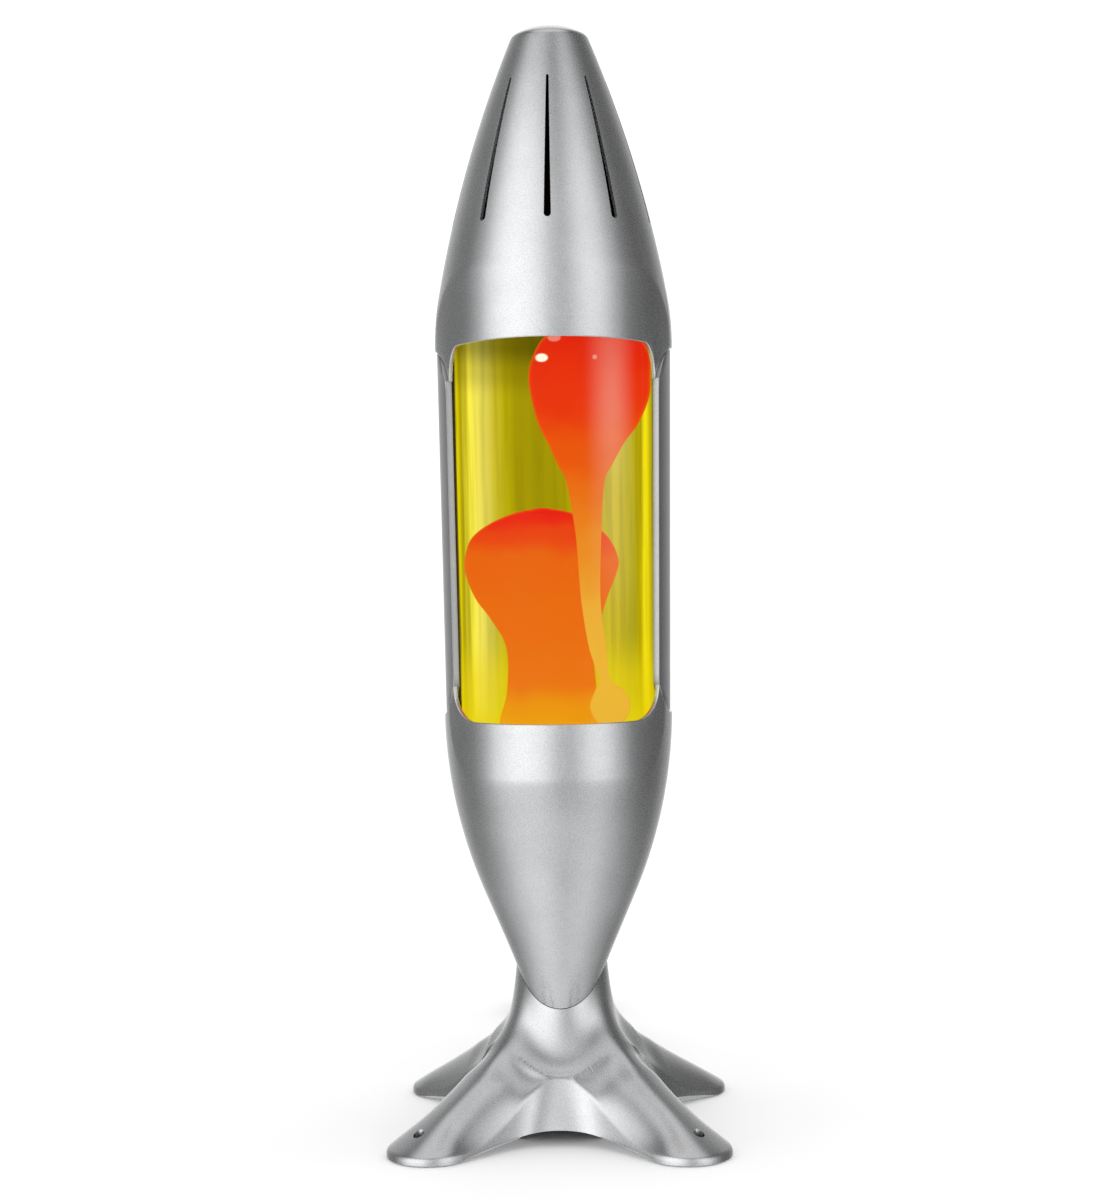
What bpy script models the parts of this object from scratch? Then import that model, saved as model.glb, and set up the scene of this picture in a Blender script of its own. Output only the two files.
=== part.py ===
"""Lava lamp: a four-legged casting carries a pointed metal body with a glass bottle between two side struts.

Metres, +Z up. The origin is the centre of the base on the ground. The front faces -Y, the struts stand at
+X and -X, and the legs point 45 degrees between them. Azimuths are measured from the front towards +X.
"""

import math

import bmesh
import bpy
import numpy as np
from mathutils import Vector

GAP = 0.0003  # clearance between neighbouring pieces
PAST = 0.001  # how far a cutter runs out of what it cuts

# Outer body, from the nose down
HEIGHT = 0.430
BELT_R = 0.0463  # widest radius, at the bottom of the nose
BLEND_R = 0.105  # arc above the belt
FLANK_R = 0.480  # long arc of the nose
SHOULDER_R = 0.004
BLEND_TILT = math.radians(10.2)
FLANK_TILT = math.radians(22.6)
SHOULDER_TILT = math.radians(60)
WAIST_R = 0.0446  # radius where the lower bowl starts
WAIST_Z = 0.160
BOWL_R = 0.185  # arc of the lower bowl
BOWL_TILT = math.radians(1.5)
CONE_TILT = math.radians(23.3)
SHEET = 0.0015  # metal thickness of both shells

# Flat front and back of the waist
FACET_R = 0.0430
FACET_HALF = math.radians(45)
FACET_RISE = 0.0029 * 0.001 * math.degrees(1) ** 2  # metres per square radian beyond FACET_HALF

# Window and struts
WINDOW_TOP = 0.3066
WINDOW_BOTTOM = 0.1615
WINDOW_HALF = math.radians(64)
WINDOW_SAG = 0.0020  # drop of the window's upper edge from its middle to its sides
CORNER_H = 0.0130  # height of the window's rounded corners
CORNER_TURN_TOP = math.radians(8.5)
CORNER_TURN_BOTTOM = math.radians(18.5)
POINT_POWER = 3.5  # how blunt the ends of the struts are
STRUT_APEX_TOP = 0.3042
STRUT_APEX_BOTTOM = 0.1626
STRUT_RECESS = 0.0007
STRUT_THICK = 0.0026
TAB_HALF = math.radians(10)
TAB_THICK = 0.0014
TAB_GAP = 0.0006
TAB_BOTTOM = 0.128
TAB_TOP = 0.318
TAB_SCREW_Z = 0.1345
TAB_SCREW_TURN = math.radians(5)

# Vent slots in the nose
SLOTS = 9
SLOT_BOTTOM = 0.3515
SLOT_TOP = 0.4074
SLOT_WIDE = 0.0027
SLOT_NARROW = 0.0010

# Seam between bowl and base
PINCH_Z = 0.0622  # height of the narrowest place, just under the seam's highest points
PINCH_R = 0.0180
PINCH_LEAN = 0.10
PINCH_FLARE = 5.5  # how fast the neck widens again towards the legs, per metre
TONGUE = 0.0090  # how much deeper than wide, from the axis, the bowl is at its lower end
TONGUE_TOP = 0.120
TONGUE_LOW = 0.046
SEAM_REACH = 0.27  # share of the way to the foot over which the upper surface follows the neck
RIDGE_REACH = 0.50
VALLEY_REACH = 0.34
CROWN_CROWDING = 1.7  # how much closer together the rings are near the seam
FIRM_SPAN = 0.4  # share of VALLEY_R over which the legs get their own section
SHELL_FLOOR = 0.0025
LEDGE_R = 0.0365
LEDGE_HALF = math.radians(72)  # the ledge stops short of the struts' tabs
HALVINGS = 30
SPIGOT_R = 0.0165  # round lower end of the bowl, in the socket of the base
SPIGOT_TOP = 0.060  # inside height of the spigot
SOCKET_FLOOR = 0.0460

# Base casting, seen along a leg
FOOT_Z = 0.0005
FOOT_TIP = 0.085
FOOT_CENTRE = 0.0675
FOOT_HALF = 0.017
FOOT_EDGE = 0.0025  # height of the foot's rim above its underside
SIDE_POWER = 8  # how late the straight side of a leg turns into the valley
CREST_POWER = 1.7  # how fast the crest falls from the valley to the foot
CREST_SLOPE = 0.70  # slope of the upper surface where it meets the valley
FOOT_SLOPE = 0.60  # slope of the leg's ridge at the foot's tip
CROWN_POWER = 2.3  # how flat a leg is across its top
VALLEY_R = 0.032
VALLEY_Z = 0.0255
ARCH_R = 0.0387
ARCH_Z = 0.0066
HOLLOW_R = 0.030  # hollow under the hub
HUB_R = 0.013
FOOT_HOLE_U = 0.074
FOOT_HOLE_R = 0.0021
PAD_U = 0.060
PAD_R = 0.005
PAD_H = 0.0015

# Stem
STEM_R = 0.005
STEM_BORE = 0.004
STEM_BOTTOM = 0.020
STEM_TOP = 0.0655
CEILING = 0.038
NUT_R = 0.0078
NUT_H = 0.0035
WASHER_R = 0.0095
WASHER_H = 0.0012

# Lamp holder and bulb
BRACKET_Z = 0.060
BRACKET_R = 0.0125
BRACKET_H = 0.0015
HOLDER_R = 0.0128
HOLDER_TOP = 0.084
HOLDER_SCREW_X = 0.0105
PIN_CIRCLE = 0.005
BULB_NECK = 0.0865
BULB_CUP = 0.1005
BULB_FACE = 0.136
BULB_R = 0.025
BULB_TWIST = math.radians(30)  # turn that frees the bulb's pins
LEAD_X = 0.0016
LEAD_R = 0.0008
LEAD_LOW = 0.0185
LEAD_TOP = 0.0728
LEAD_BORE = 0.0013
LEAD_BORE_TOP = 0.0735
THREAD_R = 0.0011
THREAD_TOP = 0.0705
HOLDER_EDGE = 0.001
HOLDER_SCREW = (0.0016, 0.0012, 0.0008, 0.0100)  # head radius, head height, shank radius, length
POCKET_TOP = 0.0665
POCKET_ROOM = 0.0008
SLOT_SPREAD = math.radians(34)
SLOT_DEEP = 0.008
SLOT_HALF = 0.0026
BULB_BASE_R = 0.0120
BULB_BASE_END = 0.0110
BULB_BASE_EDGE = 0.002
CUP_R = 0.0100
CUP_BORE = 0.003
CUP_WALL = 0.0011
LENS_IN = 0.0004
LENS_H = 0.0022
PIN_R = 0.0010
PIN_HEAD_R = 0.0022
PIN_ROOT = 0.003
PIN_NECK = 0.0055
PIN_LONG = 0.0080

# Bottle
SEAT_Z = 0.1475
SEAT_H = 0.0022
BOTTLE_BOTTOM = 0.150
BOTTLE_SHOULDER = 0.318
BOTTLE_R_LOW = 0.0399
BOTTLE_R_HIGH = 0.0410
GLASS = 0.0018
NECK_R = 0.014
NECK_TOP = 0.350
LIQUID_TOP = 0.3255
NECK_RISE = 0.01612  # height from the shoulder to the straight neck
SHOULDER_RISE = 0.012
SHOULDER_TURN = math.radians(78)
SHOULDER_REACH = 0.92  # share of the way to the neck that the shoulder's curve covers
HEEL_R = 0.004
HEEL_CUT_R = 0.0015
HEEL_CUT_H = 0.0010
SEAT_R_IN = 0.0290
SEAT_R_OUT = 0.0382
COIL_CHANNEL = 0.0024
COIL_TURN_R = 0.0012
COIL_WIRE_R = 0.0004
COIL_SWEEP = 1.9 * math.pi
LINER_H = 0.001
CAP_WALL = 0.0018
CAP_EDGE = 0.0008
CAP_ROOF = 0.0015
CAP_SKIRT = 0.0110
COIL_R = 0.0305
COIL_TURNS = 16

# Mains lead, lying behind the base
CABLE_R = 0.0024
CABLE_FLOOR = 0.0032
CABLE_BEND = 0.009
CABLE_STRAIGHT = 0.004  # straight length outside a housing
CABLE_INSIDE = 0.006  # length inside a housing
GLAND_R = 0.0072
GLAND_LOW = 0.0125
GLAND_TOP = 0.0300
GLAND_TAPER_H = 0.0025
GLAND_TAPER_R = 0.0022
GUARD_FRONT = -0.0085
GUARD_BACK = 0.0020
GUARD_TOP = 0.0130
GUARD_WALL = 0.0027
GUARD_FLOOR = 0.0012
GUARD_WIDE = 0.008
SWITCH_Y = 0.122
SWITCH_LONG = 0.056
SWITCH_WIDE = 0.026
SWITCH_HIGH = 0.018
SWITCH_WALL = 0.0018
SWITCH_ROOM = 0.030
SWITCH_SCREW = (0.0022, 0.0008, 0.0009, 0.0120)  # head radius, head height, shank radius, length
SWITCH_SCREW_X = 0.0075
SWITCH_SCREW_Y = 0.0215
SWITCH_SCREW_Z = 0.0012
ROCKER_Z = 0.0145
ROCKER_R = 0.0085
ROCKER_WIDE = 0.0095
ROCKER_TILT = math.radians(7)
PLUG_X = -0.010  # the lead bends a little aside before the plug
PLUG_Y = 0.185
PLUG_LONG = 0.034
PLUG_WIDE = 0.031
PLUG_HIGH = 0.0137
PLUG_PIN_X = 0.0093
PLUG_PIN_R = 0.002
PLUG_PIN_LONG = 0.019
PLUG_PIN_IN = 0.009
PLUG_EDGE = 0.003
PLUG_ENTRY = 0.008
PIN_TIP = 0.0006

PARTS = "lava_lamp"
CUTTERS = "cutters"


def clear_scene():
    for obj in list(bpy.data.objects):
        bpy.data.objects.remove(obj, do_unlink=True)
    for name in (PARTS, CUTTERS):
        collection = bpy.data.collections.new(name)
        bpy.context.scene.collection.children.link(collection)


def material(name, colour, roughness, metallic):
    """The named Principled material, made on first use."""
    found = bpy.data.materials.get(name)
    if found:
        return found
    made = bpy.data.materials.new(name)
    made.use_nodes = True
    shader = made.node_tree.nodes["Principled BSDF"]
    shader.inputs["Base Color"].default_value = (*colour, 1.0)
    shader.inputs["Roughness"].default_value = roughness
    shader.inputs["Metallic"].default_value = metallic
    made.diffuse_color = (*colour, 1.0)
    return made


def satin_silver():
    return material("satin_silver", (0.62, 0.63, 0.66), 0.34, 1.0)


def strut_silver():
    return material("strut_silver", (0.46, 0.47, 0.50), 0.40, 1.0)


def zinc():
    return material("zinc", (0.55, 0.56, 0.58), 0.35, 1.0)


def brass():
    return material("brass", (0.72, 0.53, 0.23), 0.30, 1.0)


def ceramic():
    return material("ceramic", (0.86, 0.84, 0.78), 0.45, 0.0)


def clear_glass():
    return material("clear_glass", (0.93, 0.96, 0.97), 0.05, 0.0)


def yellow_liquid():
    return material("yellow_liquid", (0.86, 0.82, 0.10), 0.10, 0.0)


def red_wax():
    return material("red_wax", (0.88, 0.10, 0.03), 0.35, 0.0)


def black_rubber():
    return material("black_rubber", (0.02, 0.02, 0.02), 0.70, 0.0)


def black_plastic():
    return material("black_plastic", (0.03, 0.03, 0.035), 0.45, 0.0)


def cap_metal():
    return material("cap_metal", (0.80, 0.80, 0.78), 0.30, 1.0)


# ---------------------------------------------------------------- outlines


def belt_z():
    """Height of the widest radius: the nose arcs are stacked down from the tip."""
    dome = nose_shoulder_r() / math.sin(math.pi / 2 - SHOULDER_TILT) * (1 - math.sin(SHOULDER_TILT))
    shoulder = SHOULDER_R * (math.sin(SHOULDER_TILT) - math.sin(FLANK_TILT))
    flank = FLANK_R * (math.sin(FLANK_TILT) - math.sin(BLEND_TILT))
    return HEIGHT - dome - shoulder - flank - BLEND_R * math.sin(BLEND_TILT)


def nose_shoulder_r():
    """Radius where the rounded shoulder meets the dome."""
    blend = BLEND_R * (1 - math.cos(BLEND_TILT))
    flank = FLANK_R * (math.cos(BLEND_TILT) - math.cos(FLANK_TILT))
    shoulder = SHOULDER_R * (math.cos(FLANK_TILT) - math.cos(SHOULDER_TILT))
    return BELT_R - blend - flank - shoulder


def nose_arcs():
    """(centre r, centre z, radius, lowest z, highest z) of each arc above the belt."""
    arcs = []
    r, z, tilt = BELT_R, belt_z(), 0.0
    dome = nose_shoulder_r() / math.cos(SHOULDER_TILT)
    for radius, end in (
        (BLEND_R, BLEND_TILT),
        (FLANK_R, FLANK_TILT),
        (SHOULDER_R, SHOULDER_TILT),
        (dome, math.pi / 2),
    ):
        centre_r = r - radius * math.cos(tilt)
        centre_z = z - radius * math.sin(tilt)
        r = centre_r + radius * math.cos(end)
        top = centre_z + radius * math.sin(end)
        arcs.append((centre_r, centre_z, radius, z, top))
        z, tilt = top, end
    return arcs


NOSE = nose_arcs()
BELT_Z = belt_z()
CONE_Z = WAIST_Z - BOWL_R * (math.sin(CONE_TILT) - math.sin(BOWL_TILT))
CONE_R = WAIST_R - BOWL_R * (math.cos(BOWL_TILT) - math.cos(CONE_TILT))


def body_r(z):
    """Radius of the round body at height z."""
    if z < CONE_Z:
        return CONE_R - (CONE_Z - z) * math.tan(CONE_TILT)
    if z < WAIST_Z:
        sine = math.sin(BOWL_TILT) + (WAIST_Z - z) / BOWL_R
        return WAIST_R - BOWL_R * (math.cos(BOWL_TILT) - math.sqrt(1 - sine * sine))
    if z < BELT_Z:
        return WAIST_R + (BELT_R - WAIST_R) * (z - WAIST_Z) / (BELT_Z - WAIST_Z)
    for centre_r, centre_z, radius, _, top in NOSE:
        if z <= top:
            return centre_r + math.sqrt(max(radius**2 - (z - centre_z) ** 2, 0.0))
    return 0.0


def from_front(phi):
    """Azimuth folded into 0 to 90 degrees: the body is alike front and back, left and right."""
    return math.acos(min(1.0, abs(math.cos(phi))))


def facet_r(phi):
    """Radius of the flat waist, which opens out towards the struts."""
    beyond = max(0.0, from_front(phi) - FACET_HALF)
    return FACET_R + FACET_RISE * beyond * beyond


def crease_z(phi, low, high):
    """Height between low and high where the round body is as wide as the flat waist."""
    target = facet_r(phi)
    narrow, wide = (low, high) if body_r(low) < body_r(high) else (high, low)
    if body_r(wide) <= target:
        return wide
    for _ in range(30):
        middle = (narrow + wide) / 2
        if body_r(middle) < target:
            narrow = middle
        else:
            wide = middle
    return (narrow + wide) / 2


def corner_drop(phi, turn):
    """How far the edge of the shell has left the window's straight edge, in a corner that spans turn."""
    across = (from_front(phi) - (WINDOW_HALF - turn)) / turn
    across = min(max(across, 0.0), 1.0)
    return CORNER_H * (1 - math.sqrt(1 - across * across))


def strut_rise(phi):
    """0 at the edge of the strut and 1 at the point of its end."""
    share = max(0.0, (from_front(phi) - WINDOW_HALF) / (math.pi / 2 - WINDOW_HALF))
    return 1 - (1 - min(share, 1.0)) ** POINT_POWER


def nose_edge(phi):
    tongue = WINDOW_TOP - WINDOW_SAG - CORNER_H
    if from_front(phi) <= WINDOW_HALF:
        sag = WINDOW_SAG * (from_front(phi) / WINDOW_HALF) ** 2
        return WINDOW_TOP - sag - corner_drop(phi, CORNER_TURN_TOP)
    return tongue + (STRUT_APEX_TOP - tongue) * strut_rise(phi)


def bowl_edge(phi):
    tongue = WINDOW_BOTTOM + CORNER_H
    if from_front(phi) <= WINDOW_HALF:
        return WINDOW_BOTTOM + corner_drop(phi, CORNER_TURN_BOTTOM)
    return tongue + (STRUT_APEX_BOTTOM - tongue) * strut_rise(phi)


def seam_z(phi):
    """Height at which the bowl runs into the neck."""
    low, high = 0.5 * PINCH_Z, 1.5 * PINCH_Z
    for _ in range(HALVINGS):
        middle = (low + high) / 2
        if tongue_r(phi, middle) < neck_r(middle):
            low = middle
        else:
            high = middle
    return low


def strut_turns(count=5):
    """Azimuths from the front, from the edge of a strut to its middle, close together at the edge."""
    return [WINDOW_HALF + (math.pi / 2 - WINDOW_HALF) * (i / count) ** 1.5 for i in range(count + 1)]


def quarter_azimuths(turn, flat=3, corner=3):
    start = WINDOW_HALF - turn
    found = [start * i / flat for i in range(flat)]
    found += [start + turn * math.sin(math.pi / 2 * i / corner) for i in range(corner)]
    return found + strut_turns()[:-1]


def shell_azimuths(turn):
    """Right round the body, close together at window corners that span turn."""
    quarter = quarter_azimuths(turn)
    half = quarter + [math.pi / 2] + [math.pi - phi for phi in reversed(quarter[1:])]
    return half + [phi + math.pi for phi in half]


def place(r, phi, z):
    return Vector((r * math.sin(phi), -r * math.cos(phi), z))


def steps(start, end, count):
    """count + 1 values from start to end."""
    return [start + (end - start) * i / count for i in range(count + 1)]


# ---------------------------------------------------------------- building


def add(name, mesh, look, collection=PARTS, sharp=30):
    mesh.shade_smooth()
    mesh.set_sharp_from_angle(angle=math.radians(sharp))
    obj = bpy.data.objects.new(name, mesh)
    bpy.data.collections[collection].objects.link(obj)
    if look:
        mesh.materials.append(look)
    if collection == CUTTERS:
        obj.hide_render = True
        obj.display_type = "WIRE"
    return obj


def mesh_from(name, bm):
    bmesh.ops.recalc_face_normals(bm, faces=bm.faces)
    mesh = bpy.data.meshes.new(name)
    bm.to_mesh(mesh)
    bm.free()
    return mesh


def loft(name, rings, look, ring_of_rings=False, collection=PARTS):
    """Skin through rings of points. A ring of one point is a pole; other open ends are capped."""
    bm = bmesh.new()
    rows = [[bm.verts.new(point) for point in ring] for ring in rings]
    pairs = list(zip(rows, rows[1:]))
    if ring_of_rings:
        pairs.append((rows[-1], rows[0]))
    for low, high in pairs:
        count = max(len(low), len(high))
        for i in range(count):
            j = (i + 1) % count
            corners = [low[i % len(low)], low[j % len(low)], high[j % len(high)], high[i % len(high)]]
            bm.faces.new(list(dict.fromkeys(corners)))
    if not ring_of_rings:
        for row in (rows[0], rows[-1]):
            if len(row) > 2:
                bm.faces.new(row)
    return add(name, mesh_from(name, bm), look, collection)


def polar_patch(name, azimuths, low, high, outer, inner, rows, look, collection=PARTS):
    """Curved plate between two radii, from low(phi) to high(phi)."""
    bm = bmesh.new()
    skins = []
    for radius in (outer, inner):
        skin = []
        for row in range(rows + 1):
            heights = [low(phi) + (high(phi) - low(phi)) * row / rows for phi in azimuths]
            skin.append([bm.verts.new(place(radius(z), phi, z)) for phi, z in zip(azimuths, heights)])
        skins.append(skin)
        for a, b in zip(skin, skin[1:]):
            for i in range(len(azimuths) - 1):
                bm.faces.new((a[i], a[i + 1], b[i + 1], b[i]))
    front, back = skins
    for row in (0, rows):
        for i in range(len(azimuths) - 1):
            bm.faces.new((front[row][i], front[row][i + 1], back[row][i + 1], back[row][i]))
    for side in (0, -1):
        for row in range(rows):
            edge = (front[row][side], front[row + 1][side], back[row + 1][side], back[row][side])
            bm.faces.new(edge)
    return add(name, mesh_from(name, bm), look, collection)


def turned(name, profile, look, segments=24, collection=PARTS, sharp=30):
    """Profile of (r, z) turned about Z. It runs down its outer side, and closes unless it ends on the axis."""
    mesh = bpy.data.meshes.new(name)
    points = [(r, 0.0, z) for r, z in profile]
    edges = [(i, i + 1) for i in range(len(points) - 1)]
    if profile[0][0] > 0:
        edges.append((len(points) - 1, 0))
    mesh.from_pydata(points, edges, [])
    obj = add(name, mesh, look, collection, sharp)
    screw = obj.modifiers.new("turn", "SCREW")
    screw.steps = segments
    screw.render_steps = segments
    screw.use_merge_vertices = True
    screw.merge_threshold = 0.00002
    screw.use_smooth_shade = True
    return obj


def ring_profile(r_in, r_out, z_low, z_high):
    return [(r_out, z_high), (r_out, z_low), (r_in, z_low), (r_in, z_high)]


def disc_profile(radius, z_low, z_high):
    return [(0.0, z_high), (radius, z_high), (radius, z_low), (0.0, z_low)]


def box(name, size, centre, look, bevel=0.0, collection=PARTS):
    bm = bmesh.new()
    bmesh.ops.create_cube(bm, size=1.0)
    for vert in bm.verts:
        vert.co = Vector((vert.co[i] * size[i] + centre[i] for i in range(3)))
    obj = add(name, mesh_from(name, bm), look, collection)
    if bevel:
        rounded = obj.modifiers.new("round", "BEVEL")
        rounded.width = bevel
        rounded.segments = 2
    return obj


def prism(name, outline, thickness, look, collection=PARTS):
    """Flat outline in the local XY plane, thickened both ways, as a mesh."""
    curve = bpy.data.curves.new(name, "CURVE")
    curve.dimensions = "2D"
    curve.fill_mode = "BOTH"
    curve.extrude = thickness / 2
    spline = curve.splines.new("POLY")
    spline.points.add(len(outline) - 1)
    for point, (x, y) in zip(spline.points, outline):
        point.co = (x, y, 0.0, 1.0)
    spline.use_cyclic_u = True
    return mesh_of_curve(name, curve, look, collection)


def mesh_of_curve(name, curve, look, collection):
    holder = bpy.data.objects.new(name + "_outline", curve)
    bpy.data.collections[collection].objects.link(holder)
    graph = bpy.context.evaluated_depsgraph_get()
    mesh = bpy.data.meshes.new_from_object(holder.evaluated_get(graph))
    bpy.data.objects.remove(holder)
    bm = bmesh.new()
    bm.from_mesh(mesh)
    bmesh.ops.remove_doubles(bm, verts=bm.verts, dist=1e-6)
    bmesh.ops.recalc_face_normals(bm, faces=bm.faces)
    bm.to_mesh(mesh)
    bm.free()
    mesh.materials.clear()
    return add(name, mesh, look, collection)


def wire(name, points, radius, look, resolution=2):
    """Round wire along points, with closed ends."""
    curve = bpy.data.curves.new(name, "CURVE")
    curve.dimensions = "3D"
    curve.bevel_depth = radius
    curve.bevel_resolution = resolution
    curve.use_fill_caps = True
    spline = curve.splines.new("POLY")
    spline.points.add(len(points) - 1)
    for point, place_at in zip(spline.points, points):
        point.co = (*place_at, 1.0)
    return mesh_of_curve(name, curve, look, PARTS)


def combine(obj, other, operation):
    joined = obj.modifiers.new(other.name, "BOOLEAN")
    joined.operation = operation
    joined.solver = "EXACT"
    joined.object = other
    return obj


def cut(obj, *cutters):
    for cutter in cutters:
        combine(obj, cutter, "DIFFERENCE")
    return obj


def hole(name, radius, z_low, z_high, x=0.0, y=0.0, segments=16):
    cutter = turned(name, disc_profile(radius, z_low, z_high), None, segments, CUTTERS)
    cutter.location = (x, y, 0.0)
    return cutter


def pan_screw(name, head_r, head_h, shank_r, length, look):
    """Screw pointing up local +Z, with its head's seat at the local origin."""
    profile = [
        (0.0, length),
        (shank_r, length),
        (shank_r, 0.0),
        (head_r, 0.0),
        (head_r, -head_h * 0.6),
        (head_r * 0.7, -head_h),
        (0.0, -head_h),
    ]
    return turned(name, profile, look, segments=12)


# ---------------------------------------------------------------- metal body


def tongue_r(phi, z):
    """Radius of the bowl, which is deeper to the front and back at its lower end."""
    share = min(max((TONGUE_TOP - z) / (TONGUE_TOP - TONGUE_LOW), 0.0), 1.0)
    return body_r(z) + TONGUE * share * share * (3 - 2 * share) * math.cos(phi) ** 2


def neck_r(z):
    """Radius of the base's round neck."""
    down = PINCH_Z - z
    return PINCH_R + PINCH_LEAN * down + PINCH_FLARE * max(down, 0.0) ** 2


def waist_r(phi, z):
    return min(tongue_r(phi, z), facet_r(phi))


def top_shell():
    """Nose cap: closed at the tip, open below, with nine tapered slots."""
    azimuths = shell_azimuths(CORNER_TURN_TOP)
    shoulder_z = NOSE[2][3]
    dome_z = NOSE[3][3]
    creases = {phi: crease_z(phi, BELT_Z, 0.345) for phi in azimuths}

    def ring(height, thick):
        return [place(waist_r(phi, height(phi)) - thick, phi, height(phi)) for phi in azimuths]

    def between(low, high, share):
        return lambda phi: low(phi) + (high(phi) - low(phi)) * share

    crease = creases.get
    outer = [ring(between(nose_edge, crease, share), 0.0) for share in (0.0, 0.5, 1.0)]
    outer += [ring(between(crease, lambda phi: shoulder_z, i / 8), 0.0) for i in range(1, 9)]
    outer += [ring(lambda phi, z=z: z, 0.0) for z in steps(shoulder_z, dome_z, 3)[1:]]
    outer += [ring(lambda phi: dome_z + (HEIGHT - dome_z) * 0.6, 0.0), [Vector((0.0, 0.0, HEIGHT))]]
    inner_top = shoulder_z - SHOULDER_R
    inner = [ring(between(nose_edge, crease, share), SHEET) for share in (0.0, 1.0)]
    inner_shares = (0.06, 0.14, 0.30, 0.53, 0.77, 1.0)
    inner += [ring(between(crease, lambda phi: inner_top, share), SHEET) for share in inner_shares]
    inner.append([Vector((0.0, 0.0, HEIGHT - 2 * SHEET))])
    shell = loft("top_shell", list(reversed(outer)) + inner, satin_silver())
    for number in range(SLOTS):
        cut(shell, slot_cutter(number))
    return shell


def slot_cutter(number):
    """Tapered slot with round ends, cut straight outwards."""
    low = SLOT_BOTTOM + SLOT_WIDE / 2
    high = SLOT_TOP - SLOT_NARROW / 2
    ends = ((low, SLOT_WIDE / 2, -math.pi), (high, SLOT_NARROW / 2, 0.0))
    outline = []
    for centre, radius, start in ends:
        for i in range(5):
            angle = start + math.pi * i / 4
            outline.append((radius * math.cos(angle), centre + radius * math.sin(angle)))
    cutter = prism(f"slot_cut_{number + 1}", outline, 0.040, None, CUTTERS)
    phi = 2 * math.pi * number / SLOTS
    cutter.rotation_euler = (math.pi / 2, 0.0, phi)
    cutter.location = place(0.034, phi, 0.0)
    return cutter


def lower_shell():
    """Bowl: window edge above, seam with the base below, an inner ledge for the bottle's seat."""
    azimuths = shell_azimuths(CORNER_TURN_BOTTOM)
    ledge_low, ledge_high = SEAT_Z - 0.003, SEAT_Z - GAP
    creases = {phi: crease_z(phi, 0.125, WAIST_Z) for phi in azimuths}

    def ring(height, thick):
        return [place(waist_r(phi, height(phi)) - thick, phi, height(phi)) for phi in azimuths]

    def ledge(z):
        points = []
        for phi in azimuths:
            free = from_front(phi) > LEDGE_HALF
            r = waist_r(phi, z) - SHEET if free else LEDGE_R
            points.append(place(r, phi, z))
        return points

    def between(low, high, share):
        return lambda phi: low(phi) + (high(phi) - low(phi)) * share

    def step_top(phi):
        return seam_z(phi) + GAP / 2

    def turned_ring(r, z):
        return [place(r, phi, z) for phi in azimuths]

    crease = creases.get
    rings = [ring(between(bowl_edge, crease, share), 0.0) for share in (0.0, 0.5, 1.0)]
    rings += [ring(between(crease, step_top, i / 6), 0.0) for i in range(1, 7)]
    rings.append([place(SPIGOT_R, phi, step_top(phi)) for phi in azimuths])
    rings.append(turned_ring(SPIGOT_R, SOCKET_FLOOR + GAP))
    rings.append(turned_ring(STEM_R + GAP, SOCKET_FLOOR + GAP))
    floor = SOCKET_FLOOR + SHELL_FLOOR
    rings.append(turned_ring(STEM_R + GAP, floor))
    rings += [turned_ring(SPIGOT_R - SHEET, z) for z in (floor, SPIGOT_TOP)]
    for z in (SPIGOT_TOP + 0.011, CONE_Z, 0.110, 0.127, ledge_low - 0.002):
        rings.append(ring(lambda phi, z=z: z, SHEET))
    rings += [ledge(ledge_low), ledge(ledge_high)]
    rings.append(ring(lambda phi: ledge_high + GAP, SHEET))
    rings.append(ring(bowl_edge, SHEET))
    shell = loft("lower_shell", rings, satin_silver(), ring_of_rings=True)
    for side in (1, -1):
        for turn in (TAB_SCREW_TURN, -TAB_SCREW_TURN):
            phi = side * math.pi / 2 + turn
            name = f"shell_screw_cut_{'rl'[side < 0]}{'ab'[turn < 0]}"
            cutter = turned(name, disc_profile(0.0014, 0.0, 0.010), None, 12, CUTTERS)
            cutter.rotation_euler = (math.pi / 2, 0.0, phi)
            cutter.location = place(body_r(TAB_SCREW_Z) - 0.0105, phi, TAB_SCREW_Z)
            cut(shell, cutter)
    return shell


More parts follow.
